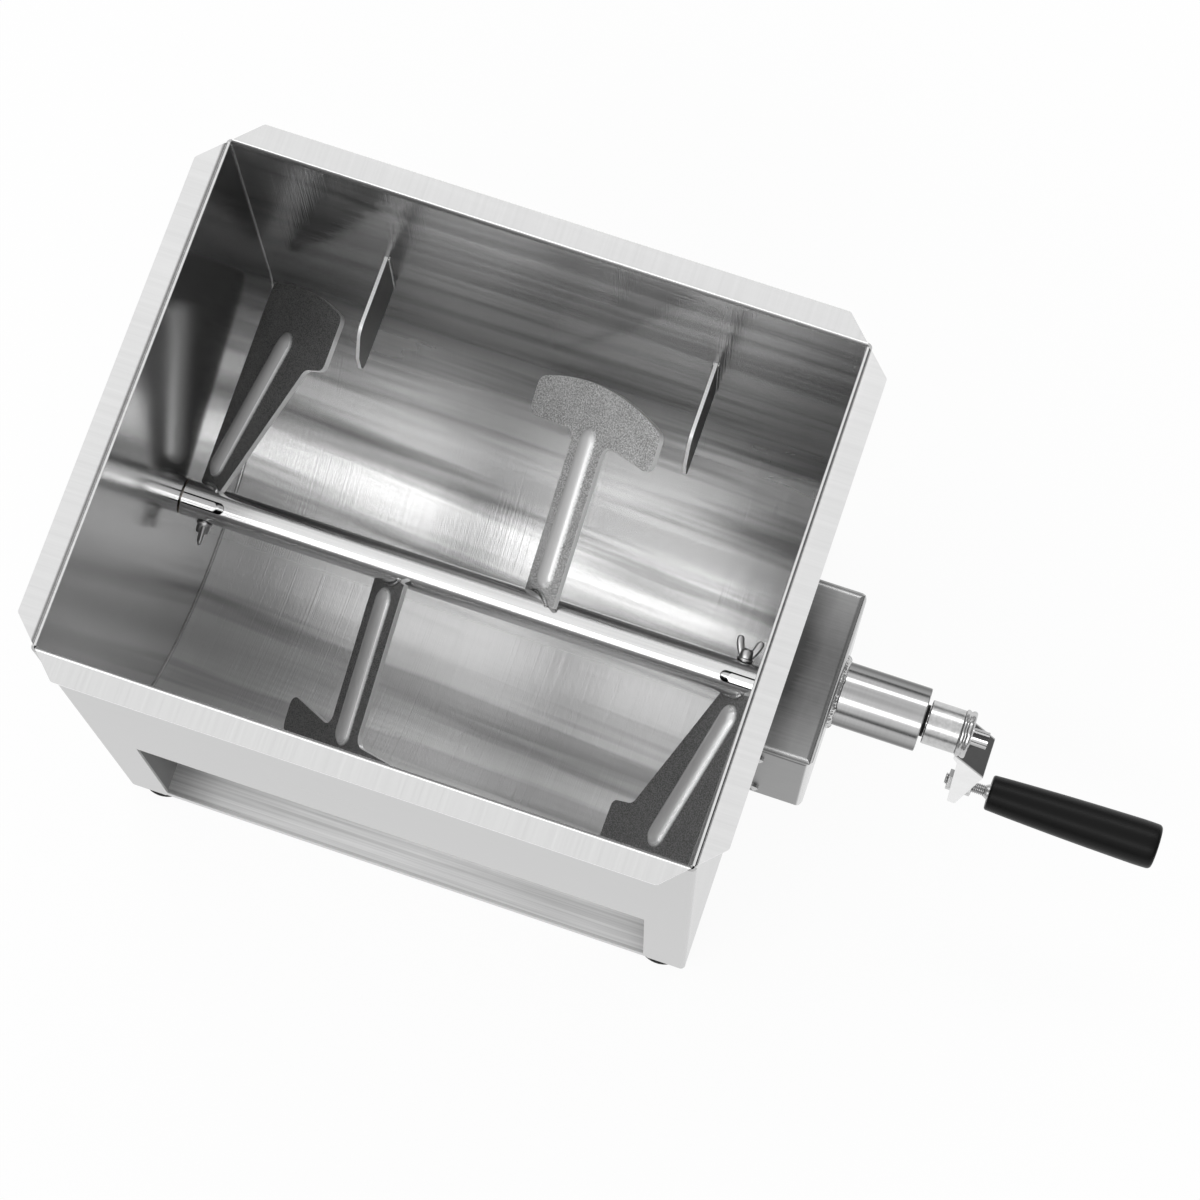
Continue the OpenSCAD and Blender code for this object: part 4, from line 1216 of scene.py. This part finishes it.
class MIXER_OT_weld_rings(bpy.types.Operator):
    """Makes the uneven weld rings of the bearing housing and the crank hub"""

    bl_idname = "mixer.weld_rings"
    bl_label = "Make the weld rings"

    def execute(self, context):
        make_weld_rings(MADE)
        return {"FINISHED"}


class MIXER_OT_grip(bpy.types.Operator):
    """Turns the grip"""

    bl_idname = "mixer.grip"
    bl_label = "Turn the grip"

    def execute(self, context):
        make_grip(MADE)
        return {"FINISHED"}


class MIXER_OT_spindle(bpy.types.Operator):
    """Turns the handle spindle and cuts its thread"""

    bl_idname = "mixer.spindle"
    bl_label = "Cut the spindle"

    def execute(self, context):
        make_spindle(MADE, context.scene.mixer.thread_pitch)
        return {"FINISHED"}


class MIXER_OT_wing_screws(bpy.types.Operator):
    """Casts the two wing screws"""

    bl_idname = "mixer.wing_screws"
    bl_label = "Cast the wing screws"

    def execute(self, context):
        make_wing_screws(MADE)
        return {"FINISHED"}


class MIXER_OT_stage(bpy.types.Operator):
    """Sets the camera, the floor, the lamps and the world"""

    bl_idname = "mixer.stage"
    bl_label = "Set the studio"

    def execute(self, context):
        key = context.scene.mixer.key_power
        fill = context.scene.mixer.fill_power
        add_camera()
        add_floor()
        set_world()
        add_area("back", (-0.2, 1.7, 2.0), (0.0, 0.0, 0.2), (2.8, 0.5), key)
        add_area("front", (-0.2, -1.3, 2.1), (0.0, 0.0, 0.1), (2.8, 0.6), fill)
        context.scene.view_settings.view_transform = "Standard"
        return {"FINISHED"}


class MIXER_PT_panel(bpy.types.Panel):
    """Settings and buttons of the mixer's studio"""

    bl_label = "Meat mixer"
    bl_space_type = "VIEW_3D"
    bl_region_type = "UI"
    bl_category = "Meat mixer"

    def draw(self, context):
        for name in MIXER_PG_settings.__annotations__:
            self.layout.prop(context.scene.mixer, name)
        for operator in OPERATORS:
            self.layout.operator(operator.bl_idname)


OPERATORS = [
    MIXER_OT_dress, MIXER_OT_rounded, MIXER_OT_beads, MIXER_OT_weld_rings,
    MIXER_OT_grip, MIXER_OT_spindle, MIXER_OT_wing_screws, MIXER_OT_stage,
]
CLASSES = [MIXER_PG_settings, *OPERATORS, MIXER_PT_panel]


def register():
    for made in CLASSES:
        bpy.utils.register_class(made)
    bpy.types.Scene.mixer = bpy.props.PointerProperty(type=MIXER_PG_settings)


def unregister():
    del bpy.types.Scene.mixer
    for made in reversed(CLASSES):
        bpy.utils.unregister_class(made)


def main():
    register()
    bpy.ops.mixer.dress()
    bpy.ops.mixer.rounded()
    bpy.ops.mixer.beads()
    bpy.ops.mixer.weld_rings()
    bpy.ops.mixer.grip()
    bpy.ops.mixer.spindle()
    bpy.ops.mixer.wing_screws()
    bpy.ops.mixer.stage()


if __name__ == "__main__":
    main()
